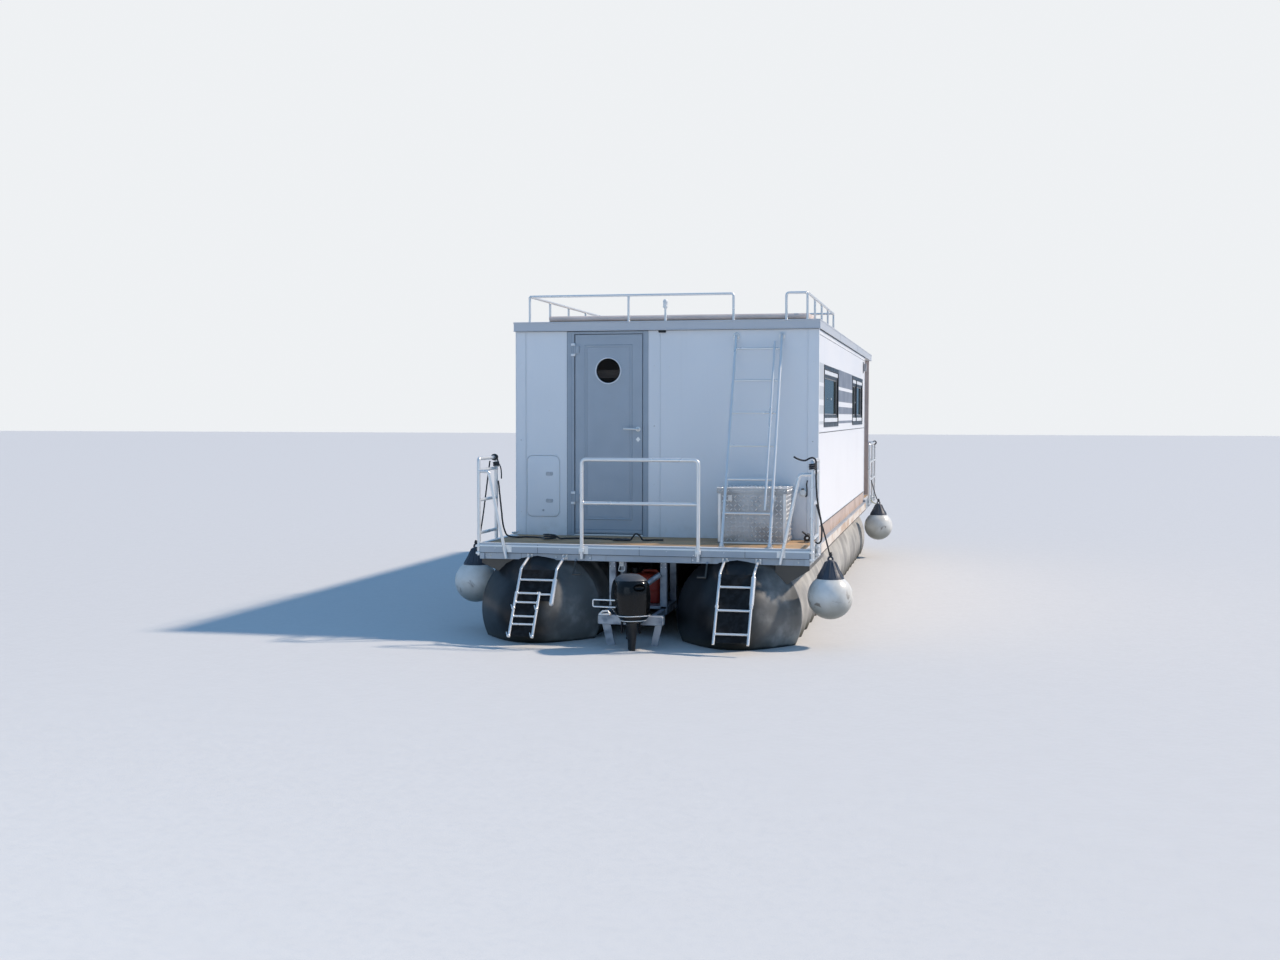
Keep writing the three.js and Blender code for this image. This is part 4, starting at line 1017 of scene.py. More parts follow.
def ladder_mat(shape, x0, x1, t0, t1, out):
    """A ribbed rubber mat behind the rungs, between two stiles."""
    low, high = [Vector(swim_along(0, t, out)) for t in (t0, t1)]
    across = Vector((1, 0, 0))
    back = across.cross((high - low).normalized())
    pitch, share = 0.03, 0.86

    def slab(start, end, behind, front):
        base = [p + across * x for p, x in ((start, x0), (start, x1), (end, x1), (end, x0))]
        shape.add([p - back * behind for p in base] + [p + back * front for p in base],
                  [[3, 2, 1, 0], [4, 5, 6, 7], [0, 1, 5, 4], [1, 2, 6, 5], [2, 3, 7, 6], [3, 0, 4, 7]])

    count = round((high - low).length / pitch)
    for i in range(count):
        slab(low.lerp(high, i / count), low.lerp(high, (i + share) / count), 0.002, 0.004)
    slab(low, high, 0.0025, 0.0015)


def add_swim_ladders():
    shape = Shape()
    left, right = 0.81, 1.125
    swim_stiles(shape, (left, right), 0.97)
    for t in (0.19, 0.51, 0.83):
        tread(shape, left, right, t)
    for x in (left, right):
        shape.lathe([(0.014, -0.014), (0.018, -0.01), (0.018, 0.01), (0.014, 0.014)], swim_along(x, 0.46),
                    Vector(swim_along(x, 1)) - Vector(swim_along(x, 0)), 16)
    grab_tube(shape, right, 0.06, 0.42)
    piece("swim_ladder_tubes_starboard", shape, "steel", replaces=["swim_ladder_starboard"])
    mat = Shape()
    ladder_mat(mat, left + 0.014, right - 0.014, 0.02, 0.95, -0.018)
    piece("swim_ladder_mat_starboard", mat, "mat")

    shape = Shape()
    left, right = -1.1, -0.75
    swim_stiles(shape, (left, right), 0.49)
    tread(shape, left, right, 0.16)
    fold_right, out = left + 0.225, 0.022
    for x in (left, fold_right):
        shape.tube([swim_along(x, 0.33, out), swim_along(x, 0.96, out)], 0.013, 14)
        for t in (0.56, 0.94):
            shape.ball(swim_along(x, t, out + 0.006), 0.017, 14, 8)
            shape.tube([swim_along(x - 0.012, t + 0.02, out), swim_along(x - 0.03, t - 0.05, out + 0.004)],
                       0.005, 8)
    for t in (0.347, 0.476, 0.67, 0.78):
        tread(shape, left, fold_right, t, out, 0.01)
    shape.tube([swim_along(right, 0.36), swim_along(fold_right, 0.36, out)], 0.01, 12, edge=0)
    grab_tube(shape, right, 0.16, 0.49)
    piece("swim_ladder_tubes_port", shape, "steel", replaces=["swim_ladder_port"])
    mat = Shape()
    ladder_mat(mat, left + 0.014, right - 0.023, 0.02, 0.46, -0.018)
    ladder_mat(mat, left + 0.014, fold_right - 0.014, 0.50, 0.95, 0.006)
    piece("swim_ladder_mat_port", mat, "mat")


# Platform edge
def add_platform_trim():
    lip = Shape()
    radius, width, rise, reach = 0.034, 0.05, 0.004, OUTER + 0.002
    crest = LIP_TOP + rise
    for end, way in ((at(0), -1), (at(DECK_LENGTH), 1)):
        outline = [(end - way * width, LIP_TOP - 0.006), (end - way * width, crest)]
        for i in range(9):
            angle = math.pi / 2 * (1 - i / 8)
            y = end + way * (rise - radius + radius * math.cos(angle))
            outline.append((y, crest - radius + radius * math.sin(angle)))
        outline.append((end - way * 0.003, LIP_TOP + 0.003 - radius))
        lip.skin([[(x, y, z) for y, z in outline] for x in (-reach, reach)])
    for side in (-1, 1):
        runs = ((0.03, CABIN_AFT - 0.013), (CABIN_FORE + 0.003, DECK_LENGTH - 0.03))
        rows = [(at(y0), at(y1), LIP_TOP - rise, crest) for y0, y1 in runs]
        lip.slabs("x", side * (OUTER - 0.042), side * reach, rows, 0.0025)
    piece("deck_edge_lip", lip, "bright")

    lines, proud, step = Shape(), 0.0012, at(0.018)
    lines.slabs("y", at(0) - proud, at(0.012), [(-OUTER + 0.004, OUTER - 0.004, 0.8195, 0.8235)], 0.0005)
    upper = [(x - 0.0015, x + 0.0015, 0.822, 0.908) for x in (-1.02, -0.015, 1.0)]
    lines.slabs("y", at(0) - proud, at(0.01), upper, 0.0004)
    lower = [(x - 0.0012, x + 0.0012, 0.762, 0.819) for x in (-1.19, -0.49, 0.49, 1.16)]
    lines.slabs("y", step - proud, at(0.03), lower, 0.0004)
    piece("deck_edge_joints", lines, "seal")

    bolts = Shape()
    for x in (-1.5, -1.12, -0.84, -0.5, 0.5, 0.84, 1.12, 1.5):
        bolts.disc((x, step - GAP, 0.79), (0, -1, 0), 0.008, 0.006, 6)
    for x in (-1.45, -0.8, -0.25, 0.25, 0.8, 1.45):
        bolts.ball((x, at(0), 0.868), 0.005, 10, 6, 1)
    for side in (-1, 1):
        for i in range(14):
            bolts.disc((side * OUTER, at(0.6 + 0.72 * i), 0.836), (side, 0, 0), 0.006, 0.004, 6)
    piece("deck_edge_bolts", bolts, "steel")


SKIRT = {"aft": 1.16, "fore": 8.39, "bottom": 0.772, "top": 0.868}
SKIRT_JOINTS = (4.6, 8.05)
SILL_RUN = (at(1.162), at(8.345))


def add_skirts():
    """The strip along each side under the sill: stained face, top bead and dark lower edge."""
    for name, side in PORT_AND_STARBOARD.items():
        strip, low = Shape(), side * (OUTER + GAP)
        starts = (SKIRT["aft"], *(y + 0.004 for y in SKIRT_JOINTS))
        lengths = zip(starts, (*SKIRT_JOINTS, SKIRT["fore"]))
        rows = [(at(y0), at(y1), SKIRT["bottom"], SKIRT["top"]) for y0, y1 in lengths]
        strip.slabs("x", low, side * (OUTER + 0.004), rows, 0.0015)
        piece(f"side_strip_{name}", strip, "skirt")
        rows = [(at(SKIRT["aft"]), at(SKIRT["fore"]), FRAME_BOTTOM + 0.001, SKIRT["bottom"] - 0.002)]
        edge = Shape().slabs("x", low, side * (OUTER + 0.003), rows, 0.001)
        piece(f"side_strip_edge_{name}", edge, "seal")
        bead = Shape()
        bead.slabs("x", side * (HALF_BEAM + GAP), side * (HALF_BEAM + 0.007), [(*SILL_RUN, 1.044, 1.066)],
                   0.003)
        piece(f"sill_bead_{name}", bead, "trim")
        gap = Shape()
        gap.slabs("x", side * (HALF_BEAM - 0.004), side * (HALF_BEAM + 0.002), [(*SILL_RUN, 1.030, 1.0435)],
                  0.0008)
        rows = [(at(y), at(y + 0.003), 0.885, 1.03) for y in (2.98, 4.79, 6.6)]
        gap.slabs("x", side * (HALF_BEAM - 0.0045), side * (HALF_BEAM - 0.0035), rows, 0.0004)
        piece(f"sill_joint_{name}", gap, "gap")


# Cabin
WALL_SCREWS = [(-1.216, 2.207), (-0.1, 2.663), (-0.1, 1.447), (-0.1, 2.05), (0.056, 2.652), (-1.52, 2.7),
               (-1.52, 1.9), (-1.52, 1.15), (1.52, 2.7), (1.52, 1.9), (1.52, 1.15)]


def add_wall_trim():
    face, low, high = at(CABIN_AFT), DECK_TOP + 0.003, ROOF_BOTTOM - 0.002
    aft, fore = at(1.165), at(CABIN_FORE - 0.052)
    trims = Shape()
    for side in (-1, 1):
        rows = [(side * 1.466, side * 1.475, low, high), (side * 1.572, side * 1.5772, low, high)]
        trims.slabs("y", face - 0.0055, face - 0.003, rows, 0.0012)
        skin = side * (HALF_BEAM + GAP)
        trims.slabs("x", skin, side * (HALF_BEAM + 0.0025),
                    [(face - 0.0035, face + 0.052, low + 0.14, high)], 0.0012)
        corner = [(at(CABIN_FORE - 0.05), at(CABIN_FORE) + 0.002, low + 0.14, high)]
        trims.slabs("x", skin, side * (HALF_BEAM + 0.004), corner, 0.0012)
    trims.slabs("y", face - 0.0062, face - 0.003, [(x, x + 0.0085, low, high) for x in (-0.163, -0.0465)],
                0.001)
    piece("wall_profiles", trims, "trim")

    lines = Shape()
    under_eave = ROOF_BOTTOM - 0.0005
    lines.slabs("y", at(ROOF_AFT) + 0.01, face - 0.0005,
                [(-HALF_BEAM, HALF_BEAM, ROOF_BOTTOM - 0.006, under_eave)], 0.001)
    for side in (-1, 1):
        rows = [(aft, at(CABIN_FORE), ROOF_BOTTOM - 0.008, under_eave)]
        lines.slabs("x", side * (HALF_BEAM + 0.001), side * (ROOF_HALF - 0.003), rows, 0.001)
        for bottom, top, out in ((1.9805, 1.9875, 0.0004), (2.973, 2.977, 0.0012)):
            lines.slabs("x", side * (HALF_BEAM - 0.003), side * (HALF_BEAM + out),
                        [(aft, fore, bottom, top)], 0.0002)
    piece("wall_joints", lines, "gap")
    beads = Shape()
    for side in (-1, 1):
        beads.slabs("x", side * (HALF_BEAM - 0.001), side * (HALF_BEAM + 0.004),
                    [(aft, fore, 1.9885, 1.998)], 0.0015)
    piece("wall_beads", beads, "trim")

    screws = Shape()
    for x, z in WALL_SCREWS:
        screws.ball((x, face - 0.004, z), 0.0055, 10, 6, 0.9)
    piece("wall_screws", screws, "steel")


ROOF_DECK = {"half": 1.4, "aft": 1.8, "fore": 4.28, "top": 3.225, "drop": 0.05, "thick": 0.008}


def add_roof_edge():
    """A folded cap along the roof's edge with its drip lip and joints, and boards round the roof's deck."""
    cap, width = Shape(), 0.03
    y0, y1, x1 = at(ROOF_AFT), at(ROOF_FORE), ROOF_HALF
    for low, high, out in ((ROOF_TOP - 0.012, ROOF_TOP + 0.003, 0.004),
                           (ROOF_BOTTOM - 0.003, ROOF_BOTTOM + 0.007, 0.003)):
        ends = [(-x1 - out, x1 + out, y0 - out, y0 + width), (-x1 - out, x1 + out, y1 - width, y1 + out)]
        sides = [(side * (x1 - width), side * (x1 + out), y0 + width, y1 - width) for side in (-1, 1)]
        cap.slabs("z", low, high, ends + sides, 0.002)
    piece("roof_edge_cap", cap, "fascia")
    joints = Shape()
    for side in (-1, 1):
        rows = [(at(y), at(y + 0.002), ROOF_BOTTOM + 0.008, ROOF_TOP - 0.013) for y in (3.6, 6.6)]
        joints.slabs("x", side * (x1 + 0.0002), side * (x1 + 0.001), rows, 0.0003)
    piece("roof_edge_joints", joints, "gap")

    edging, reach = Shape(), ROOF_DECK["half"] + ROOF_DECK["thick"]
    low, high = ROOF_DECK["top"] - ROOF_DECK["drop"], ROOF_DECK["top"] + 0.004
    nose = [(-reach, reach, ROOF_DECK["top"] - 0.045, high)]
    edging.slabs("y", at(ROOF_DECK["aft"]) - 0.035, at(ROOF_DECK["aft"]) - GAP, nose, 0.0155)
    edging.slabs("y", at(ROOF_DECK["fore"]) + GAP, at(ROOF_DECK["fore"]) + ROOF_DECK["thick"],
                 [(-reach, reach, low, high)], 0.002)
    for side in (-1, 1):
        edging.slabs("x", side * (ROOF_DECK["half"] + GAP), side * reach,
                     [(at(ROOF_DECK["aft"]), at(ROOF_DECK["fore"]), low, high)], 0.002)
    piece("roof_deck_edging", edging, "board")


DOOR = {"left": -0.938, "right": -0.225, "bottom": 0.936, "top": 2.991, "thick": 0.04}
PORTHOLE = {"x": -0.585, "z": 2.618, "r": 0.126}
DOOR_HINGES = (1.304, 2.836)


def box_angles(x0, x1, z0, z1, cx, cz, count=64):
    """Angles round a centre that take in a rectangle's corners, and the rectangle's point at each."""
    corners = [math.atan2(z - cz, x - cx) % (2 * math.pi) for x in (x0, x1) for z in (z0, z1)]
    angles = sorted([2 * math.pi * i / count for i in range(count)] + corners)
    outline = []
    for angle in angles:
        dx, dz = math.cos(angle), math.sin(angle)
        reach = min(((x1 if dx > 0 else x0) - cx) / dx if abs(dx) > 1e-9 else 1e9,
                    ((z1 if dz > 0 else z0) - cz) / dz if abs(dz) > 1e-9 else 1e9)
        outline.append((cx + dx * reach, cz + dz * reach))
    return angles, outline


def moulding(shape, x0, x1, z0, z1, y, width=0.016, height=0.005):
    """A raised bead round a panel, standing out of a face at y towards the stern."""
    bead = rounded_rectangle(x0, x1, z0, z1, 0.004, 2)
    inner = rounded_rectangle(x0 + width, x1 - width, z0 + width, z1 - width, 0.003, 2)
    crest = []
    for inset in (width * 0.35, width * 0.65):
        crest.append(rounded_rectangle(x0 + inset, x1 - inset, z0 + inset, z1 - inset, 0.004, 2))
    rows = [(bead, y + 0.002), (bead, y - height * 0.3), (crest[0], y - height), (crest[1], y - height),
            (inner, y - height * 0.3), (inner, y + 0.002)]
    return shape.skin([[(px, py, pz) for px, pz in points] for points, py in rows], closed=True)


def lever_handle(shape, face, out):
    """A lever with its round rose, and a key rose below; out is the way it stands off the door."""
    x, z = -0.269, 2.018
    axis = (0, out, 0)
    shape.disc((x, face, z), axis, 0.027, 0.009, 28, 0.004)
    shape.lathe([(0.016, 0), (0.012, 0.004), (0.010, 0.02)], (x, face + out * 0.009, z), axis, 20)
    grip = face + out * 0.047
    shape.tube([(x, face + out * 0.012, z), (x, grip, z), (x - 0.148, grip, z + 0.003)], 0.0095, 14,
               bend=0.018, edge=0.003)
    key = [(x, z - 0.132), (x + 0.024, z - 0.105), (x, z - 0.078), (x - 0.024, z - 0.105)]
    low, high = sorted((face, face + out * 0.006))
    shape.plate(key, low, high, "y", 0.0015)


HINGE = {"radius": 0.009, "leaf": 0.04, "stub": 0.024}


def hinge_leaf(shape, x, y, z, plate_to, plate_y):
    """The half of a hinge that turns: its barrel and the leaf screwed to the door."""
    r, leaf = HINGE["radius"], HINGE["leaf"]
    shape.lathe([(r - 0.001, -leaf), (r, -leaf + 0.001), (r, leaf - 0.001), (r - 0.001, leaf)], (x, y, z),
                sides=18)
    shape.block((x, y - 0.002, z - 0.038), (plate_to, plate_y, z + 0.038), 0.001)


def hinge_stubs(shape, x, y, z):
    """The half of a hinge that stays: barrels with rounded caps above and below."""
    r, start = HINGE["radius"], HINGE["leaf"]
    end = start + HINGE["stub"]
    for way in (-1, 1):
        shape.lathe([(r - 0.001, start + 0.001), (r, start + 0.002), (r, end - 0.002),
                     (r * 0.7, end + 0.003),
                     (0, end + 0.005)], (x, y, z), (0, 0, way), 18)


def add_door_leaf(face, back):
    hole = PORTHOLE
    centre = (hole["x"], hole["z"])
    angles, outer = box_angles(DOOR["left"], DOOR["right"], DOOR["bottom"], DOOR["top"], *centre)
    _, inset = box_angles(DOOR["left"] + 0.003, DOOR["right"] - 0.003, DOOR["bottom"] + 0.003,
                          DOOR["top"] - 0.003, *centre)
    rim = [(hole["x"] + hole["r"] * math.cos(a), hole["z"] + hole["r"] * math.sin(a)) for a in angles]
    rows = [(inset, face), (rim, face), (rim, back), (inset, back), (outer, back - 0.003),
            (outer, face + 0.003)]
    leaf = Shape().skin([[(x, y, z) for x, z in points] for points, y in rows], closed=True)
    moulding(leaf, -0.836, -0.332, 1.08, 2.883, face)
    moulding(leaf, -0.812, -0.356, 1.104, 2.859, face, 0.007, 0.0025)
    leaf.block((DOOR["left"] + 0.02, face - 0.006, 0.946), (DOOR["right"] - 0.02, face + 0.001, 0.975),
               0.003)
    piece("stern_door_leaf", leaf, "door", "stern_door", 25, replaces=["stern_door"])
    return angles


def add_porthole(face, back, angles):
    """The ring on both faces, the seal round the pane, and a pleated blind half drawn behind it."""
    x, z, pane = PORTHOLE["x"], PORTHOLE["z"], at(CABIN_AFT)
    ring, seal, blind = Shape(), Shape(), Shape()
    profile = [(0.1275, -0.002), (0.1255, 0.003), (0.126, 0.008), (0.130, 0.0115), (0.1345, 0.0115),
               (0.138, 0.008),
               (0.1395, -0.002)]
    for way, y in ((-1, face), (1, back)):
        ring.lathe(profile, (x, y, z), (0, way, 0), 64, ring=True)
    piece("porthole_ring", ring, "trim", "stern_door")
    seal_radius, blind_radius, slat = 0.1245, 0.119, 0.014
    loop = [(x + seal_radius * math.cos(a), pane + 0.014, z + seal_radius * math.sin(a)) for a in angles]
    seal.tube(loop, 0.003, 8, closed=True)
    piece("porthole_seal", seal, "seal", "stern_door")
    for i in range(6):
        level = z + 0.002 - slat * i
        half = math.sqrt(blind_radius ** 2 - (level - z) ** 2)
        blind.block((x - half, pane + 0.0265, level - 0.0058), (x + half, pane + 0.030, level + 0.0058),
                    0.001)
    piece("porthole_blind", blind, "blind", "stern_door")


def add_door_fittings(face, back):
    handles, hinges, lines = Shape(), Shape(), Shape()
    lever_handle(handles, face, -1)
    lever_handle(handles, back, 1)
    piece("stern_door_metalwork", handles, "steel", "stern_door")
    for z in DOOR_HINGES:
        hinge_leaf(hinges, DOOR["left"] - 0.002, at(CABIN_AFT - 0.016), z, DOOR["left"] + 0.045,
                   face + 0.001)
    piece("stern_door_hinges", hinges, "door", "stern_door")
    lines.slabs("y", face - 0.0015, face + 0.001,
                [(DOOR["left"] + 0.001, DOOR["right"] - 0.001, 0.9755, 0.9805)], 0.0004)
    thick = 0.0035
    upright = [(x, x + thick, 1.08, 2.883) for x in (-0.8375, -0.334)]
    level = [(-0.8375, -0.3305, z, z + thick) for z in (1.0775, 2.8825)]
    lines.slabs("y", face - 0.0012, face + 0.001, upright + level, 0.0004)
    piece("stern_door_lines", lines, "soft_line", "stern_door")


def add_door_frame(face):
    """What stays with the wall: threshold, hinge stubs, the casing's faces and lines, and the seal."""
    wall, gap = at(CABIN_AFT), 0.0065
    left, right, foot, top = -1.02, -0.1645, 0.914, 3.0205
    leaf_left, leaf_right = DOOR["left"] - gap, DOOR["right"] + gap
    threshold = Shape()
    for z in DOOR_HINGES:
        hinge_stubs(threshold, DOOR["left"] - 0.002, at(CABIN_AFT - 0.016), z)
    threshold.block((DOOR["left"] - 0.004, face - 0.012, 0.917),
                    (DOOR["right"] + 0.004, at(CABIN_AFT + WALL), 0.9275), 0.002)
    piece("door_threshold", threshold, "bright")

    casing = Shape()
    rows = [(left, leaf_left, foot, top), (leaf_right, right, foot, top),
            (leaf_left, leaf_right, DOOR["top"] + 0.005, top)]
    casing.slabs("y", wall - 0.0075, wall - 0.0005, rows, 0.001)
    ribs = [(x, x + 0.008, 0.93, 3.0) for x in (-0.214, -0.984)]
    casing.slabs("y", wall - 0.0095, wall - 0.007, ribs, 0.0008)
    piece("door_frame_faces", casing, "door_trim")

    edges, thick = Shape(), 0.0035
    outside = [(x, x + thick, foot, top + 0.004) for x in (left - 0.004, right + 0.0005)]
    outside.append((left, right, top + 0.0005, top + 0.004))
    edges.slabs("y", wall - 0.0045, wall - 0.0005, outside, 0.0004)
    head = DOOR["top"] + 0.005
    inside = [(leaf_left, leaf_left + thick, 0.93, head), (leaf_right - 0.0038, leaf_right, 0.93, head),
              (leaf_left, leaf_right, DOOR["top"] + 0.0022, DOOR["top"] + 0.0055)]
    edges.slabs("y", wall - 0.0068, wall - 0.004, inside, 0.0004)
    piece("door_frame_lines", edges, "gap")

    seal, inset, thick = Shape(), 0.0035, 0.0015
    rows = [(DOOR["right"] + inset, DOOR["right"] + inset + thick, 0.935, 2.995),
            (DOOR["left"], DOOR["right"], DOOR["top"] + inset, DOOR["top"] + inset + thick)]
    seal.slabs("y", wall + 0.012, wall + 0.045, rows, 0.0004)
    piece("door_seal", seal, "seal")


def add_stern_door():
    face = at(CABIN_AFT - 0.002)
    back = face + DOOR["thick"]
    angles = add_door_leaf(face, back)
    add_porthole(face, back, angles)
    add_door_fittings(face, back)
    add_door_frame(face)


HATCH = {"left": -1.456, "right": -1.105, "bottom": 1.104, "top": 1.738, "thick": 0.03, "corner": 0.06}


def hatch_outline(grow, corner):
    """The hatch's outline, grown all round, with more or less rounding at its corners."""
    return rounded_rectangle(HATCH["left"] - grow, HATCH["right"] + grow, HATCH["bottom"] - grow,
                             HATCH["top"] + grow, HATCH["corner"] + corner)


def add_locker_hatch():
    face, wall = at(CABIN_AFT - 0.005), at(CABIN_AFT)
    back = face + HATCH["thick"]
    rows = []
    for inset, y in ((0.012, face), (0.004, face + 0.0015), (0.0, face + 0.006), (0.0, back - 0.002),
                     (0.002, back)):
        rows.append([(x, y, z) for x, z in hatch_outline(-inset, -inset * 0.5)])
    leaf = Shape().skin(rows)
    piece("locker_hatch_leaf", leaf, "wall", "locker_hatch", 25, replaces=["locker_hatch"])
    latches, finger_hole = Shape(), 0.0125
    for z in (1.27, 1.551):
        base = rounded_rectangle(-1.252, -1.175, z - 0.02, z + 0.02, 0.012, 5)
        latches.plate(base, face - 0.0025, face + 0.0005, "y", 0.001)
        for x in (-1.235, -1.191):
            ring = [(x + finger_hole * math.cos(a), face - 0.0045, z + finger_hole * math.sin(a))
                    for a in (2 * math.pi * i / 24 for i in range(24))]
            latches.tube(ring, 0.0022, 8, closed=True)
    latches.disc((-1.28, face, 1.17), (0, -1, 0), 0.012, 0.005, 24, 0.002)
    piece("hatch_latches", latches, "fascia", "locker_hatch")
    slot = Shape().block((-1.2815, face - 0.0056, 1.164), (-1.2785, face - 0.0045, 1.176), 0.0003)
    piece("hatch_keyhole", slot, "seal", "locker_hatch")
    surround = Shape()
    ring_plate(surround, hatch_outline(0.012, 0.01), hatch_outline(0.002, 0.001), wall - 0.0018, wall + 0.01)
    piece("hatch_surround", surround, "wall")


WINDOWS = {"aft": (1.70, 3.55, []), "fore": (5.86, 7.90, [6.64])}
WINDOW_BOTTOM, WINDOW_TOP, WINDOW_BAR = 2.04, 2.69, 0.045


def side_frame(shape, side, y0, y1, z0, z1, width, x_in, x_out):
    """A picture frame on a side wall, of four bars."""
    for a0, a1, b0, b1 in ((y0, y1, z0, z0 + width), (y0, y1, z1 - width, z1),
                           (y0, y0 + width, z0 + width, z1 - width),
                           (y1 - width, y1, z0 + width, z1 - width)):
        shape.block((side * x_in, at(a0), b0), (side * x_out, at(a1), b1), 0.002)


SASH_IN, SASH_OUT = 1.5535, 1.569


def add_window_trim():
    """Blind bars, sashes, beads round the panes and the knobs of the blinds, on both sides."""
    low, high, bar_out = WINDOW_BOTTOM + 0.098, WINDOW_TOP - 0.098, SASH_OUT + 0.0045
    bar_heights = ((WINDOW_BOTTOM + 0.048, WINDOW_BOTTOM + 0.095), (WINDOW_TOP - 0.095, WINDOW_TOP - 0.048))
    for name, side in PORT_AND_STARBOARD.items():
        bars, inner, knobs, seals = Shape(), Shape(), Shape(), Shape()
        for aft, fore, mullions in WINDOWS.values():
            rows = [(at(aft + 0.05), at(fore - 0.05), z0, z1) for z0, z1 in bar_heights]
            bars.slabs("x", side * SASH_IN, side * bar_out, rows, 0.003)
            edges = [aft + WINDOW_BAR, *mullions, fore - WINDOW_BAR]
            shift, inset = (0.024 if mullions else 0.004), 0.031
            for y0, y1 in zip(edges, edges[1:]):
                y0, y1 = y0 + shift, y1 - shift
                side_frame(inner, side, y0, y1, low, high, 0.03, SASH_IN, SASH_OUT)
                side_frame(seals, side, y0 + inset, y1 - inset, low + inset, high - inset, 0.01, 1.5533,
                           1.562)
            middle = at((mullions[0] - 0.2) if mullions else (aft + fore) / 2)
            knobs.disc((side * SASH_OUT, middle, WINDOW_BOTTOM + 0.3), (side, 0, 0), 0.012, 0.006, 16)
        piece(f"window_blind_bars_{name}", bars, "trim")
        piece(f"window_sash_{name}", inner, "frame")
        piece(f"window_beads_{name}", seals, "motor_grey")
        piece(f"window_knobs_{name}", knobs, "lamp")



def add_wall_fittings():
    face = at(CABIN_AFT)
    lamp = Shape()
    lamp.block((-0.055, at(ROOF_AFT) + 0.004, 3.002), (0.021, face - 0.002, 3.0285), 0.006)
    piece("eave_lamp", lamp, "seal")

    inlet, (x, z), aft = Shape(), (1.425, 1.389), (0, -1, 0)
    inlet.disc((x, face - GAP, z), aft, 0.042, 0.006, 36, 0.003)
    inlet.lathe([(0.034, 0.0), (0.034, 0.022), (0.03, 0.028), (0.0, 0.03)], (x, face - 0.006, z), aft, 36)
    piece("power_inlet", inlet, "lamp")
    hook = Shape().block((1.411, face - 0.043, 1.417), (1.439, face - 0.022, 1.430), 0.003)
    hook.tube([(1.452, face - 0.006, 1.345), (1.468, face - 0.022, 1.36), (1.468, face - 0.024, 1.41),
               (1.462, face - 0.012, 1.47), (1.47, face - 0.004, 1.51)], 0.006, 10, bend=0.012)
    piece("inlet_hook", hook, "seal")

    side_lamps = Shape()
    for side in (-1, 1):
        x = side * (HALF_BEAM + GAP)
        side_lamps.block((x, at(7.99), 2.78), (x + side * 0.012, at(8.05), 2.95), 0.005)
        side_lamps.lathe([(0.024, -0.055), (0.027, -0.045), (0.027, 0.045), (0.024, 0.055)],
                         (x + side * 0.03, at(8.02), 2.865), (0, 0, 1), 24)
    piece("side_lamps", side_lamps, "motor_grey")


NAV_FOOT = [(0.038, 0), (0.038, 0.005), (0.034, 0.009), (0.014, 0.013), (0.0115, 0.03), (0.0115, 0.14),
            (0.016, 0.146), (0.026, 0.15), (0.0265, 0.166), (0.023, 0.168)]
NAV_CAP = [(0.0235, 0.205), (0.0268, 0.207), (0.0268, 0.216), (0.02, 0.229), (0.01, 0.237), (0, 0.240)]
NAV_LENS = [(0.022, 0.167), (0.0236, 0.175), (0.0242, 0.187), (0.0236, 0.199), (0.022, 0.206)]


def add_nav_light():
    place = (-0.024, at(1.3), ROOF_TOP + GAP)
    body = Shape().lathe(NAV_FOOT, place, sides=32).lathe(NAV_CAP, place, sides=32)
    piece("nav_light_body", body, "lamp", replaces=["nav_light"])
    piece("nav_light_lens", Shape().lathe(NAV_LENS, place, sides=32), "bright")



# Deck gear
BOX = {"left": 0.655, "right": 1.32, "aft": 0.54, "fore": 1.07, "top": 1.425}


def lug_field(shape, origin, across, up, width, height, out, pitch=0.04):
    """Raised lugs of tread plate on a flat face, each turned the other way from its neighbours."""
    origin, across, up, out = Vector(origin), Vector(across), Vector(up), Vector(out)
    columns, rows = int(width / pitch), int(height / pitch)
    length, half_width, rise = pitch * 0.5, pitch * 0.17, 0.0024
    for i in range(columns):
        for j in range(rows):
            middle = origin + across * ((i + 0.5) * width / columns) + up * ((j + 0.5) * height / rows)
            lean = 1 if (i + j) % 2 else -1
            along = (across + up * lean).normalized()
            beside = (up - across * lean).normalized()
            base = [middle + along * length, middle + beside * half_width, middle - along * length,
                    middle - beside * half_width]
            crest = [middle + along * length * 0.55 + out * rise,
                     middle - along * length * 0.55 + out * rise]
            shape.add(base + crest,
                      [[0, 1, 4], [1, 5, 4], [1, 2, 5], [2, 3, 5], [3, 4, 5], [3, 0, 4], [3, 2, 1, 0]])


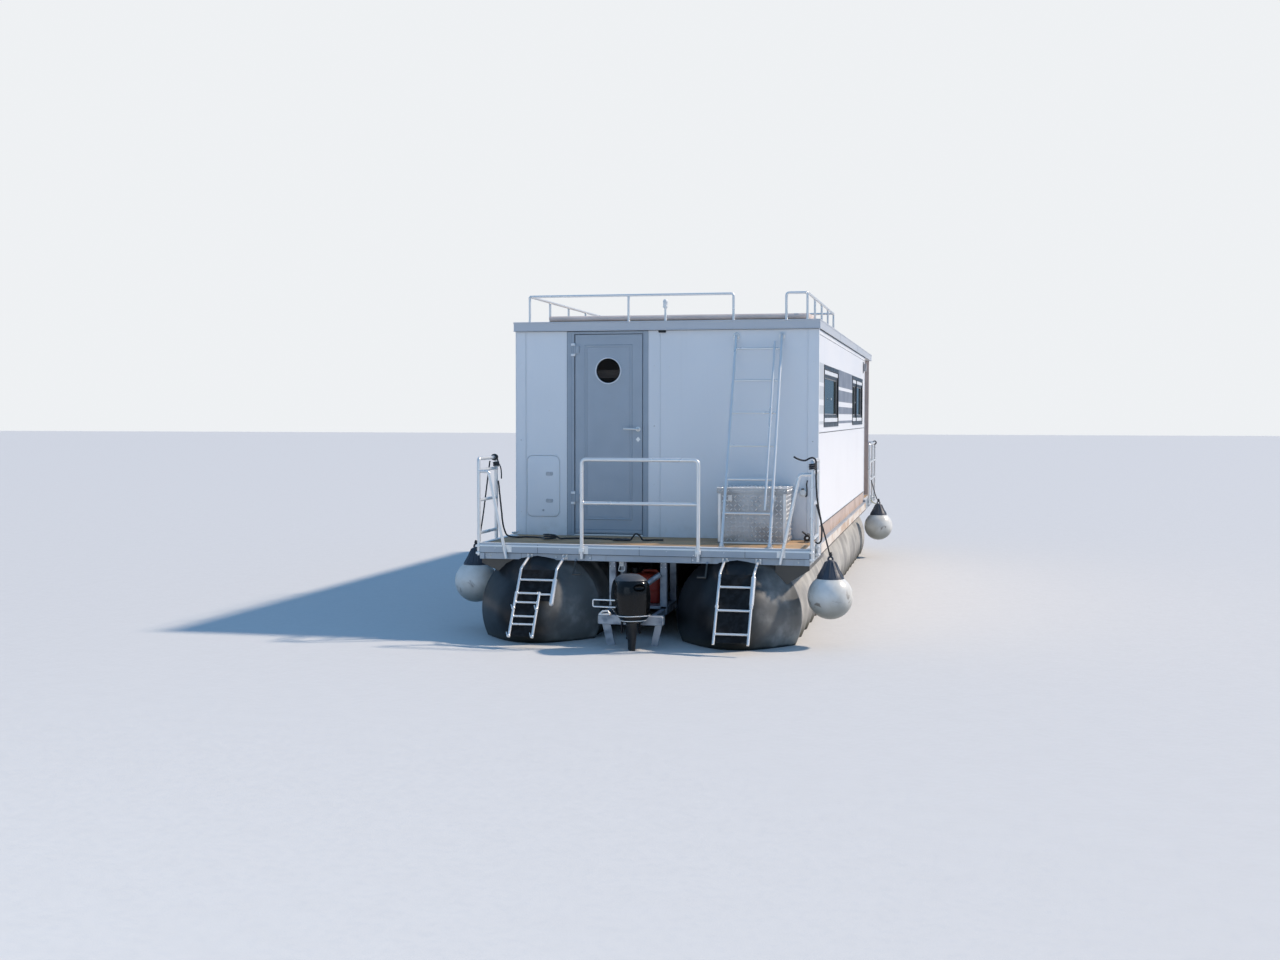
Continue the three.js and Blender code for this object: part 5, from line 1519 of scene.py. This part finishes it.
def add_deck_box():
    floor, top, along, up = DECK_TOP + 0.004, BOX["top"] - 0.026, (0, 1, 0), (0, 0, 1)
    x0, x1, y0, y1 = BOX["left"], BOX["right"], at(BOX["aft"]), at(BOX["fore"])
    lugs, margin, foot, rise = Shape(), 0.03, floor + 0.012, top - floor - 0.02
    lug_field(lugs, (x0 + margin, y0, foot), (1, 0, 0), up, x1 - x0 - 2 * margin, rise, (0, -1, 0))
    for x, way in ((x0, -1), (x1, 1)):
        lug_field(lugs, (x, y0 + margin, foot), along, up, y1 - y0 - 2 * margin, rise, (way, 0, 0))
    piece("box_tread_lugs", lugs, "lugs")
    edges, inside, proud, leg, edge = Shape(), 0.001, 0.002, 0.026, 0.0008
    for x, sx in ((x0, -1), (x1, 1)):
        for y, sy in ((y0, -1), (y1, 1)):
            edges.block((x + sx * proud, y - sy * leg, floor), (x - sx * inside, y + sy * proud, top), edge)
            edges.block((x - sx * leg, y + sy * proud, floor), (x + sx * proud, y - sy * inside, top), edge)
    edges.block((x0 - proud, y0 - proud, floor - 0.003), (x1 + proud, y0 + inside, floor + 0.012), 0.001)
    piece("box_corner_profiles", edges, "bright")
    catch, out = Shape(), y0 - 0.012
    for x in (x0 + 0.12, x1 - 0.12):
        catch.block((x - 0.02, y0 - 0.009, top - 0.075), (x + 0.02, y0 - 0.001, top - 0.012), 0.002)
        bail = [(x + dx, out, top - drop)
                for dx, drop in ((-0.012, 0.02), (-0.012, 0.06), (0.012, 0.06), (0.012, 0.02))]
        catch.tube(bail, 0.0025, 8, bend=0.006)
    piece("box_catches", catch, "steel")

    lid, rim = Shape(), Shape()
    low, high, grow, margin, skirt = BOX["top"] - 0.016, BOX["top"] + 0.03, 0.012, 0.01, 0.04
    x0, x1, y0, y1 = x0 - grow, x1 + grow, y0 - grow, y1 + 0.002
    lug_field(lid, (x0 + grow, y0 + grow, high), (1, 0, 0), along, x1 - x0 - 2 * grow, y1 - y0 - 2 * grow,
              up)
    lug_field(lid, (x0 + margin, y0, low), (1, 0, 0), up, x1 - x0 - 2 * margin, skirt, (0, -1, 0), 0.03)
    for x, way in ((x1, 1), (x0, -1)):
        lug_field(lid, (x, y0 + margin, low), along, up, y1 - y0 - 2 * margin, skirt, (way, 0, 0), 0.03)
    piece("lid_tread_lugs", lid, "lugs", "box_lid")
    left, right, near, far, level = x0 + 0.001, x1 - 0.001, y0 + 0.001, y1 - 0.001, high - 0.0015
    ring = [(left, near, level), (right, near, level), (right, far, level), (left, far, level)]
    for a, c in zip(ring, ring[1:] + ring[:1]):
        rim.tube([a, c], 0.0035, 10)
    piece("lid_rim", rim, "bright", "box_lid")


CLEAT = {"x": 1.505, "y": 0.85}


def add_deck_fittings():
    """Cleats on the deck's quarters and rows of deck screws."""
    cleats = Shape()
    for side in (-1, 1):
        for y in (CLEAT["y"], DECK_LENGTH - 0.3):
            x = side * CLEAT["x"]
            cleats.block((x - 0.022, at(y) - 0.055, LIP_TOP - 0.001),
                         (x + 0.022, at(y) + 0.055, LIP_TOP + 0.008), 0.003)
            for dy in (-0.03, 0.03):
                cleats.lathe([(0.014, 0), (0.009, 0.014), (0.011, 0.03)], (x, at(y) + dy, LIP_TOP + 0.006),
                             (0, 0, 1), 16)
            rows = ((-0.105, 0.046), (-0.05, 0.040), (0, 0.039), (0.05, 0.040), (0.105, 0.046))
            horns = [(x, at(y) + dy, LIP_TOP + rise) for dy, rise in rows]
            cleats.tube(horns, 0.0105, 14, bend=0.1, edge=0.004)
    piece("mooring_cleats", cleats, "steel")

    screws = Shape()
    for first, last, count in ((0.04, CABIN_AFT + WALL, 8), (CABIN_FORE - WALL, DECK_LENGTH - 0.04, 15)):
        pitch = (last - first) / count
        for i in range(count):
            y = first + (i + 0.5) * pitch
            if CABIN_AFT - 0.03 < y < CABIN_FORE + 0.03:
                continue
            for x in (-1.5, -1.0, -0.5, 0.0, 0.5, 1.0, 1.5):
                for dy in (-0.035, 0.035):
                    screws.ball((x + random.uniform(-0.003, 0.003), at(y) + dy, DECK_TOP), 0.0045, 8, 4, 0.3)
    piece("deck_screws", screws, "steel")


def rope_turns(shape, centre, axis, radius, turns, thick, tail=None):
    """Turns of rope wound side by side round a bar, with an end that hangs off."""
    axis = Vector(axis).normalized()
    side = axis.orthogonal().normalized()
    up = axis.cross(side)
    way = []
    steps = 16
    for i in range(turns * steps + 1):
        angle = 2 * math.pi * i / steps
        shift = (i / steps - turns / 2) * thick * 1.02
        wobble = 1 + 0.06 * math.sin(angle * 1.7)
        out = side * math.cos(angle) + up * math.sin(angle)
        way.append(Vector(centre) + axis * shift + out * radius * wobble)
    if tail:
        way += smooth_way([way[-1], *tail], 0.012)[1:]
    shape.tube(way, laid_radius(thick / 2), 10, edge=0.002)


def add_port_knot(x, y):
    knot = Shape()
    tail = [(-x + 0.02, y, RAIL_TOP - 0.04), (-x + 0.045, y + 0.02, RAIL_TOP - 0.12),
            (-x + 0.05, y + 0.02, RAIL_TOP - 0.22)]
    rope_turns(knot, (-x, y - 0.05, RAIL_TOP), (0, 1, 0), 0.0265, 4, 0.014, tail)
    rope_turns(knot, (-x, y, RAIL_TOP - 0.07), (0, 0, 1), 0.0265, 3, 0.014)
    piece("port_rail_knot", knot, "rope")


def add_cleat_turns(x):
    """Turns on the starboard rail's post, and the figure of eight with a loop on the cleat."""
    turns = Shape()
    rope_turns(turns, (x, at(0.03), 1.685), (0, 0, 1), 0.0275, 3, 0.018)
    cx, cy, top, thick = CLEAT["x"], at(CLEAT["y"]), LIP_TOP + 0.062, laid_radius(0.0095)
    rope_turns(turns, (cx, cy, LIP_TOP + 0.026), (0, 0, 1), 0.034, 2, 0.02)
    for dy in (-0.05, 0.05):
        rope_turns(turns, (cx, cy + dy, LIP_TOP + 0.044), (0, 1, 0), 0.024, 4, 0.02)
    for lean in (-1, 1):
        cross = [(cx - 0.012, cy - 0.075 * lean, top), (cx, cy, LIP_TOP + 0.080),
                 (cx + 0.012, cy + 0.075 * lean, top)]
        turns.tube(smooth_way(cross, 0.01), thick, 10)
    loop = [(cx - 0.02, cy - 0.02, LIP_TOP + 0.075), (cx - 0.05, cy - 0.05, LIP_TOP + 0.105),
            (cx - 0.02, cy - 0.09, LIP_TOP + 0.085), (cx + 0.02, cy - 0.05, top)]
    turns.tube(smooth_way(loop, 0.01), thick, 10)
    piece("cleat_turns_starboard", turns, "rope")


def add_knots():
    x = OUTER + TUBE + GAP
    add_port_knot(x, at(0.575))
    add_cleat_turns(x)
    bow = Shape()
    rope_turns(bow, (x, at(DECK_LENGTH) - 0.12, 1.73), (0, 1, 0), 0.0265, 5, 0.014)
    piece("bow_rail_knot", bow, "rope")


# Fenders
FENDERS = {
    "starboard_aft": [(1.79, 0.10, 0.47), (1.752, 0.112, 0.98), (1.652, 0.13, 1.33)],
    "port_aft": [(-1.806, 0.48, 0.484), (-1.765, 0.478, 0.96), (-1.654, 0.47, 1.70)],
    "starboard_fore": [(1.765, 9.02, 0.48), (1.725, 9.02, 0.93), (1.65, 9.02, 1.18)],
}
FENDER_R = 0.212


CONE_BASE = 0.168
CONE_PROFILE = [(0.129, 0.170), (0.1245, 0.182), (0.110, 0.208), (0.088, 0.246), (0.068, 0.286),
                (0.052, 0.316), (0.042, 0.334), (0.0, 0.340)]


def fender_profile():
    """The ball's outline from its moulded foot up to the flat place under the cone."""
    r, last = FENDER_R, math.asin(CONE_BASE / FENDER_R)
    angles = [-math.pi / 2 + (last + math.pi / 2) * i / 30 for i in range(3, 30)]
    foot = [(0.0, -r), (0.018, -r + 0.001), (0.03, -r + 0.0035)]
    top = [(0.1293, CONE_BASE), (0.122, 0.176), (0.0, 0.176)]
    return foot + [(r * math.cos(a), r * math.sin(a)) for a in angles] + top


def fender_cone(x, y, z):
    """The cone on top of a fender, with its ribs."""
    cone = Shape().lathe(CONE_PROFILE, (x, y, z), sides=48)
    for i in range(12):
        angle = 2 * math.pi * i / 12
        out = Vector((math.cos(angle), math.sin(angle), 0))
        low = Vector((x + 0.121 * out.x, y + 0.121 * out.y, z + 0.186))
        high = Vector((x + 0.047 * out.x, y + 0.047 * out.y, z + 0.326))
        cone.tube([low, low.lerp(high, 0.5) - out * 0.004, high], 0.006, 8, edge=0.003)
    return cone


def add_fenders():
    for name, (centre, *lanyard) in FENDERS.items():
        x, y, z = centre[0], at(centre[1]), centre[2]
        ball = Shape().lathe(fender_profile(), (x, y, z), sides=64)
        piece(f"fender_ball_{name}", ball, "vinyl", replaces=[f"fender_{name}"])
        piece(f"fender_cone_{name}", fender_cone(x, y, z), "cone")
        eye, radius = Shape(), 0.021
        eye.lathe([(0.036, 0.33), (0.03, 0.336), (0.022, 0.344)], (x, y, z), sides=24)
        angles = [2 * math.pi * i / 28 for i in range(28)]
        eye.tube([(x + radius * math.cos(a), y, z + 0.352 + radius * math.sin(a)) for a in angles], 0.0095,
                 12, closed=True)
        piece(f"fender_eye_{name}", eye, "cone")
        line = Shape()
        points = [(x, y, z + 0.366)] + [(lx, at(ly), lz) for lx, ly, lz in lanyard]
        line.tube(smooth_way(points, 0.02), laid_radius(0.0078, 3, 0.06), 10)
        rope_turns(line, (x, y, z + 0.395), Vector(points[1]) - Vector(points[0]), 0.013, 4, 0.009)
        piece(f"fender_lanyard_{name}", line, "rope")


# Motor and its frame
BEAM = {"aft": -0.325, "fore": -0.24, "bottom": 0.205, "top": 0.288}
MOTOR_X, STEER_Y, SHAFT_Z = -0.02, -0.42, -0.385
STEERED = Matrix.Translation((MOTOR_X, at(STEER_Y), 0)) @ Matrix.Rotation(math.radians(28), 4, "Z")


LEG_PLACES = (-0.317, 0.187)


def add_motor_frame():
    under, aft, fore = FRAME_BOTTOM - GAP, at(BEAM["aft"]), at(BEAM["fore"])
    beams = Shape()
    beams.block((-0.336, aft, BEAM["bottom"]), (0.278, fore, BEAM["top"]), 0.004)
    beams.block((-0.345, at(0.17), 0.296), (0.222, at(0.72), 0.322), 0.003)
    for x in LEG_PLACES:
        beams.block((x - 0.033, at(0.17), 0.24), (x + 0.033, at(0.236), under), 0.004)
        beams.block((x - 0.024, at(BEAM["fore"] - 0.01), 0.236), (x + 0.024, at(0.70), 0.30), 0.004)
        beams.block((x - 0.033, at(0.654), 0.24), (x + 0.033, at(0.72), under), 0.004)
        beams.block((x - 0.05, at(0.155), under - 0.012), (x + 0.05, at(0.251), under), 0.002)
    y, head, foot = at(BEAM["fore"] + 0.008), 0.24, -0.06
    for high, low, half in ((-0.29, -0.222, 0.04), (0.232, 0.165, 0.034)):
        strut = [(high - half, head), (low - half, foot), (low + half, foot), (high + half, head)]
        beams.plate(strut, y, y + 0.024, "y", 0.003)
    beams.tube([(-0.222, y + 0.012, -0.045), (0.165, y + 0.012, -0.045)], 0.022, 14)
    piece("motor_frame_beams", beams, "galvanised", replaces=["motor_frame"])
    caps, inset = Shape(), 0.004
    for x, way in ((-0.336, -1), (0.278, 1)):
        caps.block((x, aft + inset, BEAM["bottom"] + inset),
                   (x + way * 0.004, fore - inset, BEAM["top"] - inset), 0.002)
    caps.block((0.13, aft - 0.003, BEAM["top"] - 0.004), (0.275, fore, BEAM["top"] + 0.004), 0.002)
    for x in LEG_PLACES:
        for z in (0.7, 0.735):
            for dx in (-0.02, 0.02):
                bolt(caps, (x + dx, at(0.17), z), (0, -1, 0))
    arm = Shape().tube([(0.165, at(0.150), 0.635), (0.10, at(0.14), 0.592), (0.03, at(0.10), 0.535)], 0.027,
                       18,
                       bend=0.05, edge=0.004)
    arm.tube([(0.03, at(0.10), 0.552), (0.03, at(0.10), 0.498)], 0.034, 20, edge=0.005)
    piece("steering_arm", arm, "galvanised")
    piece("motor_frame_fittings", caps, "bright")
    fitting, y = Shape(), at(0.12)
    fitting.block((-0.235, at(0.1), 0.705), (-0.185, at(0.14), 0.757), 0.006)
    fitting.tube([(-0.232, y, 0.72), (-0.245, y, 0.66), (-0.185, y, 0.66), (-0.19, y, 0.72)], 0.005, 10,
                 bend=0.01)
    piece("underdeck_fitting", fitting, "lamp")


TANK_ROWS = [(0.018, 0, 0.04), (0.004, 0.008, 0.045), (0, 0.022, 0.05), (0, 0.12, 0.05),
             (0.003, 0.124, 0.05),
             (0.003, 0.130, 0.05), (0, 0.134, 0.05), (0, 0.235, 0.05), (0.006, 0.258, 0.055),
             (0.022, 0.275, 0.06), (0.05, 0.286, 0.06)]


def add_fuel_tank():
    x0, x1, y0, y1, z0 = -0.245, 0.118, at(0.37), at(0.64), 0.3223
    rows = []
    for inset, rise, corner in TANK_ROWS:
        outline = rounded_rectangle(x0 + inset, x1 - inset, y0 + inset, y1 - inset, corner, 6)
        rows.append([(x, y, z0 + rise) for x, y in outline])
    shape = Shape().skin(rows)
    shape.tube([(x0 + 0.16, (y0 + y1) / 2, z0 + 0.27), (x0 + 0.17, (y0 + y1) / 2, z0 + 0.307),
                (x1 - 0.06, (y0 + y1) / 2, z0 + 0.307),
                (x1 - 0.05, (y0 + y1) / 2, z0 + 0.27)], 0.014, 12, bend=0.02)
    piece("fuel_tank_shell", shape, "tank", replaces=["fuel_tank"])
    cap = Shape()
    cap.lathe([(0.03, 0.27), (0.03, 0.3), (0.038, 0.302), (0.038, 0.336), (0.032, 0.342), (0, 0.344)],
              (x0 + 0.09, y0 + 0.09, z0), (0, 0, 1), 32)
    for i in range(16):
        angle = 2 * math.pi * i / 16
        cx, cy = x0 + 0.09 + 0.037 * math.cos(angle), y0 + 0.09 + 0.037 * math.sin(angle)
        cap.tube([(cx, cy, z0 + 0.304), (cx, cy, z0 + 0.335)], 0.0022, 6)
    piece("fuel_tank_cap", cap, "motor_black")


COWL_PAN = [(0.265, 0.095, -0.062, -0.215), (0.300, 0.128, -0.057, -0.248), (0.334, 0.150, -0.052, -0.262)]
COWL = [(0.342, 0.154, 0.062, -0.264), (0.380, 0.164, 0.128, -0.268), (0.485, 0.172, 0.152, -0.272),
        (0.600, 0.160, 0.144, -0.262), (0.655, 0.132, 0.112, -0.228), (0.690, 0.082, 0.050, -0.160)]
LEG = [(-0.520, 0.007, -0.060, -0.135), (-0.430, 0.011, -0.030, -0.170), (-0.330, 0.019, -0.026, -0.176),
       (-0.150, 0.025, -0.034, -0.165), (0.090, 0.034, -0.034, -0.168), (0.2647, 0.060, -0.040, -0.200)]


def section(row, count=40, power=2.6):
    """A rounded section: height, half width, front and back place from the steering axis."""
    z, half, front, back = row
    middle, reach = (front + back) / 2, (front - back) / 2

    def bulged(value):
        return math.copysign(abs(value) ** (2 / power), value)

    angles = [2 * math.pi * i / count for i in range(count)]
    return [(half * bulged(math.cos(a)), middle + reach * bulged(math.sin(a)), z) for a in angles]


def smooth_sections(rows, steps):
    """More sections on a smooth curve through the given ones."""
    result = []
    padded = [rows[0], *rows, rows[-1]]
    for a, b, c, d in zip(padded, padded[1:], padded[2:], padded[3:]):
        for i in range(steps):
            t = i / steps
            result.append(tuple(0.5 * (2 * q + (r - p) * t + (2 * p - 5 * q + 4 * r - s) * t * t
                                       + (3 * q - p - 3 * r + s) * t ** 3)
                                for p, q, r, s in zip(a, b, c, d)))
    return result + [rows[-1]]


COWL_CAP = [(0.628, 0.1505, 0.132, -0.2480), (0.655, 0.1340, 0.1135, -0.2300),
            (0.676, 0.1080, 0.085, -0.1960), (0.691, 0.0810, 0.049, -0.1600), (0.6945, 0.045, 0.015, -0.12)]
COWL_CLOSE = (0.692, 0.05, 0.02, -0.12)
HOLLOW_PLACE, HOLLOW_SIZE = (0.030, -0.262, 0.590), (0.060, 0.045, 0.036)


def add_cowl():
    """The motor's hood with its hollow at the back, the two trim rings and the darker top."""
    rows = smooth_sections(COWL_PAN, 6) + smooth_sections(COWL, 8) + [COWL_CLOSE]
    cowl = Shape().skin([section(row, 48) for row in rows]).turn(STEERED)
    shell = piece("motor_cowl_shell", cowl, "motor", "motor_steer", 40,
                  replaces=["motor_cowl"])
    cut_hollow(shell, HOLLOW_PLACE, HOLLOW_SIZE)
    trim = Shape()
    for z, grow, thick in ((0.331, 0.0015, 0.0042), (0.285, 0.001, 0.0038)):
        row = next(r for r in smooth_sections(COWL_PAN, 12) if r[0] >= z)
        trim.tube([Vector(p) for p in section((z, row[1] + grow, row[2], row[3] - grow), 56)], thick, 8,
                  closed=True)
    piece("motor_cowl_trim", trim.turn(STEERED), "bright", "motor_steer")
    cap = Shape().skin([section(row) for row in COWL_CAP]).turn(STEERED)
    piece("motor_cowl_top", cap, "cowl_top", "motor_steer", 40)


GEAR_CASE = [(0.0, 0.060), (0.010, 0.057), (0.022, 0.046), (0.034, 0.026), (0.041, 0.0), (0.042, -0.03),
             (0.040, -0.12), (0.036, -0.19)]
CAVITATION_PLATE = [(0.0, 0.0), (0.045, -0.02), (0.072, -0.07), (0.075, -0.22), (0.062, -0.25),
                    (-0.062, -0.25), (-0.075, -0.22), (-0.072, -0.07), (-0.045, -0.02)]


def add_leg():
    """The leg's casting with its gear case, plate and bolts, and the loop for lifting the motor."""
    leg = Shape()
    leg.skin([section(row, 32, 2.2) for row in smooth_sections(LEG, 5)])
    leg.lathe(GEAR_CASE, (0, 0, SHAFT_Z), (0, 1, 0), 32)
    leg.plate(CAVITATION_PLATE, -0.262, -0.252, "z", 0.002)
    leg.block((-0.024, -0.05, 0.084), (0.024, 0.024, 0.112), 0.006)
    for z in (0.02, 0.10, 0.18, 0.24):
        for side in (-1, 1):
            half_width = 0.027 + 0.045 * max(0, z) ** 0.7 * 0.6
            leg.disc((side * half_width, -0.1, z), (side, 0, 0), 0.006, 0.006, 6)
    leg.turn(STEERED)
    piece("motor_leg_casting", leg, "motor_black", "motor_steer", 40, replaces=["motor_leg"])
    loop, high, low = Shape(), 0.468, 0.404
    loop.tube([(-0.155, -0.13, high), (-0.345, -0.01, high), (-0.345, -0.01, low), (-0.155, -0.13, low)],
              0.0065, 10,
              bend=0.014)
    piece("motor_carry_loop", loop.turn(STEERED), "bright", "motor_steer")


def add_motor():
    add_cowl()
    add_leg()
    add_propeller()
    add_clamp()


def cut_hollow(obj, place, size):
    """Takes an egg-shaped hollow out of a piece, at a place in the steered unit's own frame."""
    egg = Shape().ball((0, 0, 0), 1.0, 32, 16)
    egg.turn(STEERED @ Matrix.Translation(place) @ Matrix.Diagonal((*size, 1)))
    tool = new_object("hollow_tool", mesh_of("hollow_tool", egg, 40))
    modifier = obj.modifiers.new("hollow", "BOOLEAN")
    modifier.operation = "DIFFERENCE"
    modifier.solver = "EXACT"
    modifier.object = tool
    bpy.context.view_layer.update()
    finish = obj.data.materials[0]
    obj.data = bpy.data.meshes.new_from_object(obj.evaluated_get(bpy.context.evaluated_depsgraph_get()))
    obj.modifiers.clear()
    obj.data.materials.clear()
    obj.data.materials.append(finish)
    obj.data.shade_smooth()
    obj.data.set_sharp_from_angle(angle=math.radians(40))
    bpy.data.objects.remove(tool)


def add_propeller():
    shape = Shape()
    shape.lathe([(0.034, -0.192), (0.034, -0.235), (0.030, -0.255), (0.02, -0.262), (0, -0.264)],
                (0, 0, SHAFT_Z), (0, 1, 0), 28)
    for blade in range(3):
        rings = []
        for i in range(9):
            t = i / 8
            radius = 0.026 + 0.088 * t
            chord = 0.046 * math.sin(math.pi * (0.18 + 0.72 * t)) + 0.004
            pitch = math.radians(58 - 34 * t)
            ring = []
            for k in range(14):
                angle = 2 * math.pi * k / 14
                u, w = chord * math.cos(angle), 0.0032 * (1 - 0.6 * t) * math.sin(angle)
                x = u * math.cos(pitch) - w * math.sin(pitch)
                y = u * math.sin(pitch) * 0.55 + w * math.cos(pitch)
                ring.append((x, -0.228 + y, radius))
            rings.append(ring)
        first = len(shape.points)
        shape.skin(rings)
        turn = Matrix.Translation((0, 0, SHAFT_Z)) @ Matrix.Rotation(math.radians(120 * blade), 4, "Y")
        shape.turn(turn, first)
    shape.turn(STEERED)
    piece("propeller_blades", shape, "propeller", "propeller", 40, replaces=["propeller"])


def add_clamp():
    aft, fore = at(BEAM["aft"]), at(BEAM["fore"])
    tilt_y, tilt_z = at(-0.262), 0.326
    shape, top, reach = Shape(), BEAM["top"] + 0.022, 0.03
    for side in (-1, 1):
        x0, x1 = MOTOR_X + side * 0.078, MOTOR_X + side * 0.092
        shape.block((x0, aft - reach, 0.13), (x1, aft - GAP, top), 0.003)
        shape.block((x0, aft - reach, BEAM["top"] + GAP), (x1, fore + reach, top), 0.003)
        shape.block((x0, fore + GAP, 0.215), (x1, fore + reach, top), 0.003)
        shape.lathe([(0.022, 0), (0.022, 0.010), (0.018, 0.014)], (x0, tilt_y, tilt_z), (side, 0, 0), 28)
        x, y, z = MOTOR_X + side * 0.085, fore + 0.025, 0.25
        shape.tube([(x, y, z), (x, y + 0.055, z)], 0.009, 14)
        shape.tube([(x - 0.03, y + 0.05, z), (x + 0.03, y + 0.05, z)], 0.006, 10)
    shape.block((MOTOR_X - 0.092, fore + 0.006, BEAM["top"] - 0.02), (MOTOR_X + 0.092, fore + reach, top),
                0.004)
    piece("clamp_bracket_casting", shape, "motor_black", replaces=["clamp_bracket"])
    bright = Shape()
    bright.block((-0.335, aft - 0.003, BEAM["top"] + GAP), (-0.225, fore - 0.01, BEAM["top"] + 0.014), 0.004)
    rows = ((-0.325, 0.012), (-0.30, 0.036), (-0.25, 0.040), (-0.23, 0.012))
    bright.tube([(x, aft + 0.02, BEAM["top"] + rise) for x, rise in rows], 0.008, 12, bend=0.02)
    piece("beam_handle", bright, "bright")


# Bow
def add_bow_doors():
    """The grips of the glazed doors and the beads round their panes, inside and out."""
    face, low, high, reach = at(CABIN_FORE + 0.002), 1.9, 2.1, 0.05
    bead_low, bead_high, inset, wide = 1.09, 2.871, 0.079, 0.01
    for name, side in PORT_AND_STARBOARD.items():
        x = side * 0.048
        bar = [(x, face - 0.002, low), (x, face + reach, low), (x, face + reach, high),
               (x, face - 0.002, high)]
        grip = Shape().tube(bar, 0.0092, 14, bend=0.02)
        for z in (low, high):
            grip.disc((x, face, z), (0, 1, 0), 0.02, 0.005, 20)
        piece(f"bow_door_grip_{name}", grip, "steel", f"bow_door_{name}")
        beads = Shape()
        x0, x1 = sorted((side * 0.75, side * 0.004))
        x0, x1 = x0 + inset, x1 - inset
        rows = [(x0, x1, bead_low, bead_low + wide), (x0, x1, bead_high - wide, bead_high),
                (x0, x0 + wide, bead_low + wide, bead_high - wide),
                (x1 - wide, x1, bead_low + wide, bead_high - wide)]
        for y0, y1 in ((face - 0.004, face + 0.003), (face - 0.043, face - 0.037)):
            beads.slabs("y", y0, y1, rows, 0.001)
        piece(f"bow_door_beads_{name}", beads, "seal", f"bow_door_{name}")


def add_terrace_details():
    """The feet of the terrace's posts with their bolts, the lamp under its roof and a fender's strap."""
    feet, half, top = Shape(), 0.055, DECK_TOP + 0.008
    for side in (-1, 1):
        x, y = side * 1.5225, at(9.8225)
        feet.block((x - half, y - half, DECK_TOP + GAP), (x + half, y + half, top), 0.002)
        for dx in (-0.042, 0.042):
            for dy in (-0.042, 0.042):
                bolt(feet, (x + dx, y + dy, top), (0, 0, 1))
    piece("post_feet", feet, "bright")
    dome = [(0.09, 0), (0.09, 0.012), (0.08, 0.03), (0.05, 0.04), (0, 0.043)]
    lamp = Shape().lathe(dome, (0, at(9.1), ROOF_BOTTOM - GAP), (0, 0, -1), 40)
    piece("terrace_lamp", lamp, "lamp")
    way = [(1.61, at(8.99), 0.955), (1.635, at(8.995), 0.9), (1.68, at(9.0), 0.84), (1.745, at(9.01), 0.815)]
    piece("fender_strap", Shape().tube(smooth_way(way, 0.02), 0.007, 8), "strap")


# Stage
SUN_DIRECTION = (0.965, 0.447, 0.95)
SUN_POWER, SUN_COLOUR = 3.9, (1.0, 0.86, 0.73)
FILL_COLOUR = (0.74, 0.88, 1.0)
SKY_LOW, SKY_HIGH, SKY_POWER = (0.36, 0.58, 0.86, 1), (0.28, 0.56, 1.0, 1), 0.62
SKY_SEEN = (0.86, 0.88, 0.90, 1)
FILL_PLACE, FILL_AIM, FILL_SIZE, FILL_POWER = (-3.0, -17.0, 3.0), (0.2, -4.5, 1.4), (10, 4), 90


def add_stage():
    mesh = bpy.data.meshes.new("floor")
    size = 160
    mesh.from_pydata([(-size, -size, 0), (size, -size, 0), (size, size, 0), (-size, size, 0)], [],
                     [[0, 1, 2, 3]])
    mesh.materials.append(FINISHES["stage"])
    new_object("floor", mesh)

    sun = bpy.data.lights.new("sun", "SUN")
    sun.energy = SUN_POWER
    sun.angle = math.radians(3)
    sun.color = SUN_COLOUR
    new_object("sun", sun).rotation_euler = Vector(SUN_DIRECTION).to_track_quat("Z", "Y").to_euler()

    fill = bpy.data.lights.new("fill", "AREA")
    fill.shape = "RECTANGLE"
    fill.size, fill.size_y = FILL_SIZE
    fill.energy = FILL_POWER
    fill.color = FILL_COLOUR
    panel = new_object("fill", fill)
    panel.location = FILL_PLACE
    panel.rotation_euler = (Vector(FILL_PLACE) - Vector(FILL_AIM)).to_track_quat("Z", "Y").to_euler()
    panel.visible_camera = False

    world = bpy.data.worlds.new("studio")
    bpy.context.scene.world = world
    world.use_nodes = True
    tree = world.node_tree
    background = tree.nodes["Background"]
    coords = tree.nodes.new("ShaderNodeTexCoord")
    split = tree.nodes.new("ShaderNodeSeparateXYZ")
    ramp = tree.nodes.new("ShaderNodeValToRGB")
    tree.links.new(coords.outputs["Generated"], split.inputs[0])
    tree.links.new(split.outputs[2], ramp.inputs[0])
    low, high = ramp.color_ramp.elements
    low.position, low.color = 0.0, SKY_LOW
    high.position, high.color = 0.55, SKY_HIGH
    tree.links.new(ramp.outputs[0], background.inputs[0])
    background.inputs[1].default_value = SKY_POWER
    seen = tree.nodes.new("ShaderNodeBackground")
    seen.inputs[0].default_value = SKY_SEEN
    rays = tree.nodes.new("ShaderNodeLightPath")
    mix = tree.nodes.new("ShaderNodeMixShader")
    tree.links.new(rays.outputs["Is Camera Ray"], mix.inputs[0])
    tree.links.new(background.outputs[0], mix.inputs[1])
    tree.links.new(seen.outputs[0], mix.inputs[2])
    tree.links.new(mix.outputs[0], tree.nodes["World Output"].inputs[0])
    view = bpy.context.scene.view_settings
    view.view_transform = "Standard"
    view.look = "None"


add_camera()
FINISHES = make_finishes()
add_cords()
add_stage()
dress_nodes()
add_pontoons()
add_platform_trim()
add_skirts()
add_wall_trim()
add_roof_edge()
add_stern_door()
add_locker_hatch()
add_window_trim()
add_wall_fittings()
add_nav_light()
add_roof_rail()
add_stern_rail()
add_quarter_rails()
add_bow_rails()
add_roof_ladder()
add_swim_ladders()
add_deck_box()
add_deck_fittings()
add_knots()
add_fenders()
add_motor_frame()
add_fuel_tank()
add_motor()
add_bow_doors()
add_terrace_details()
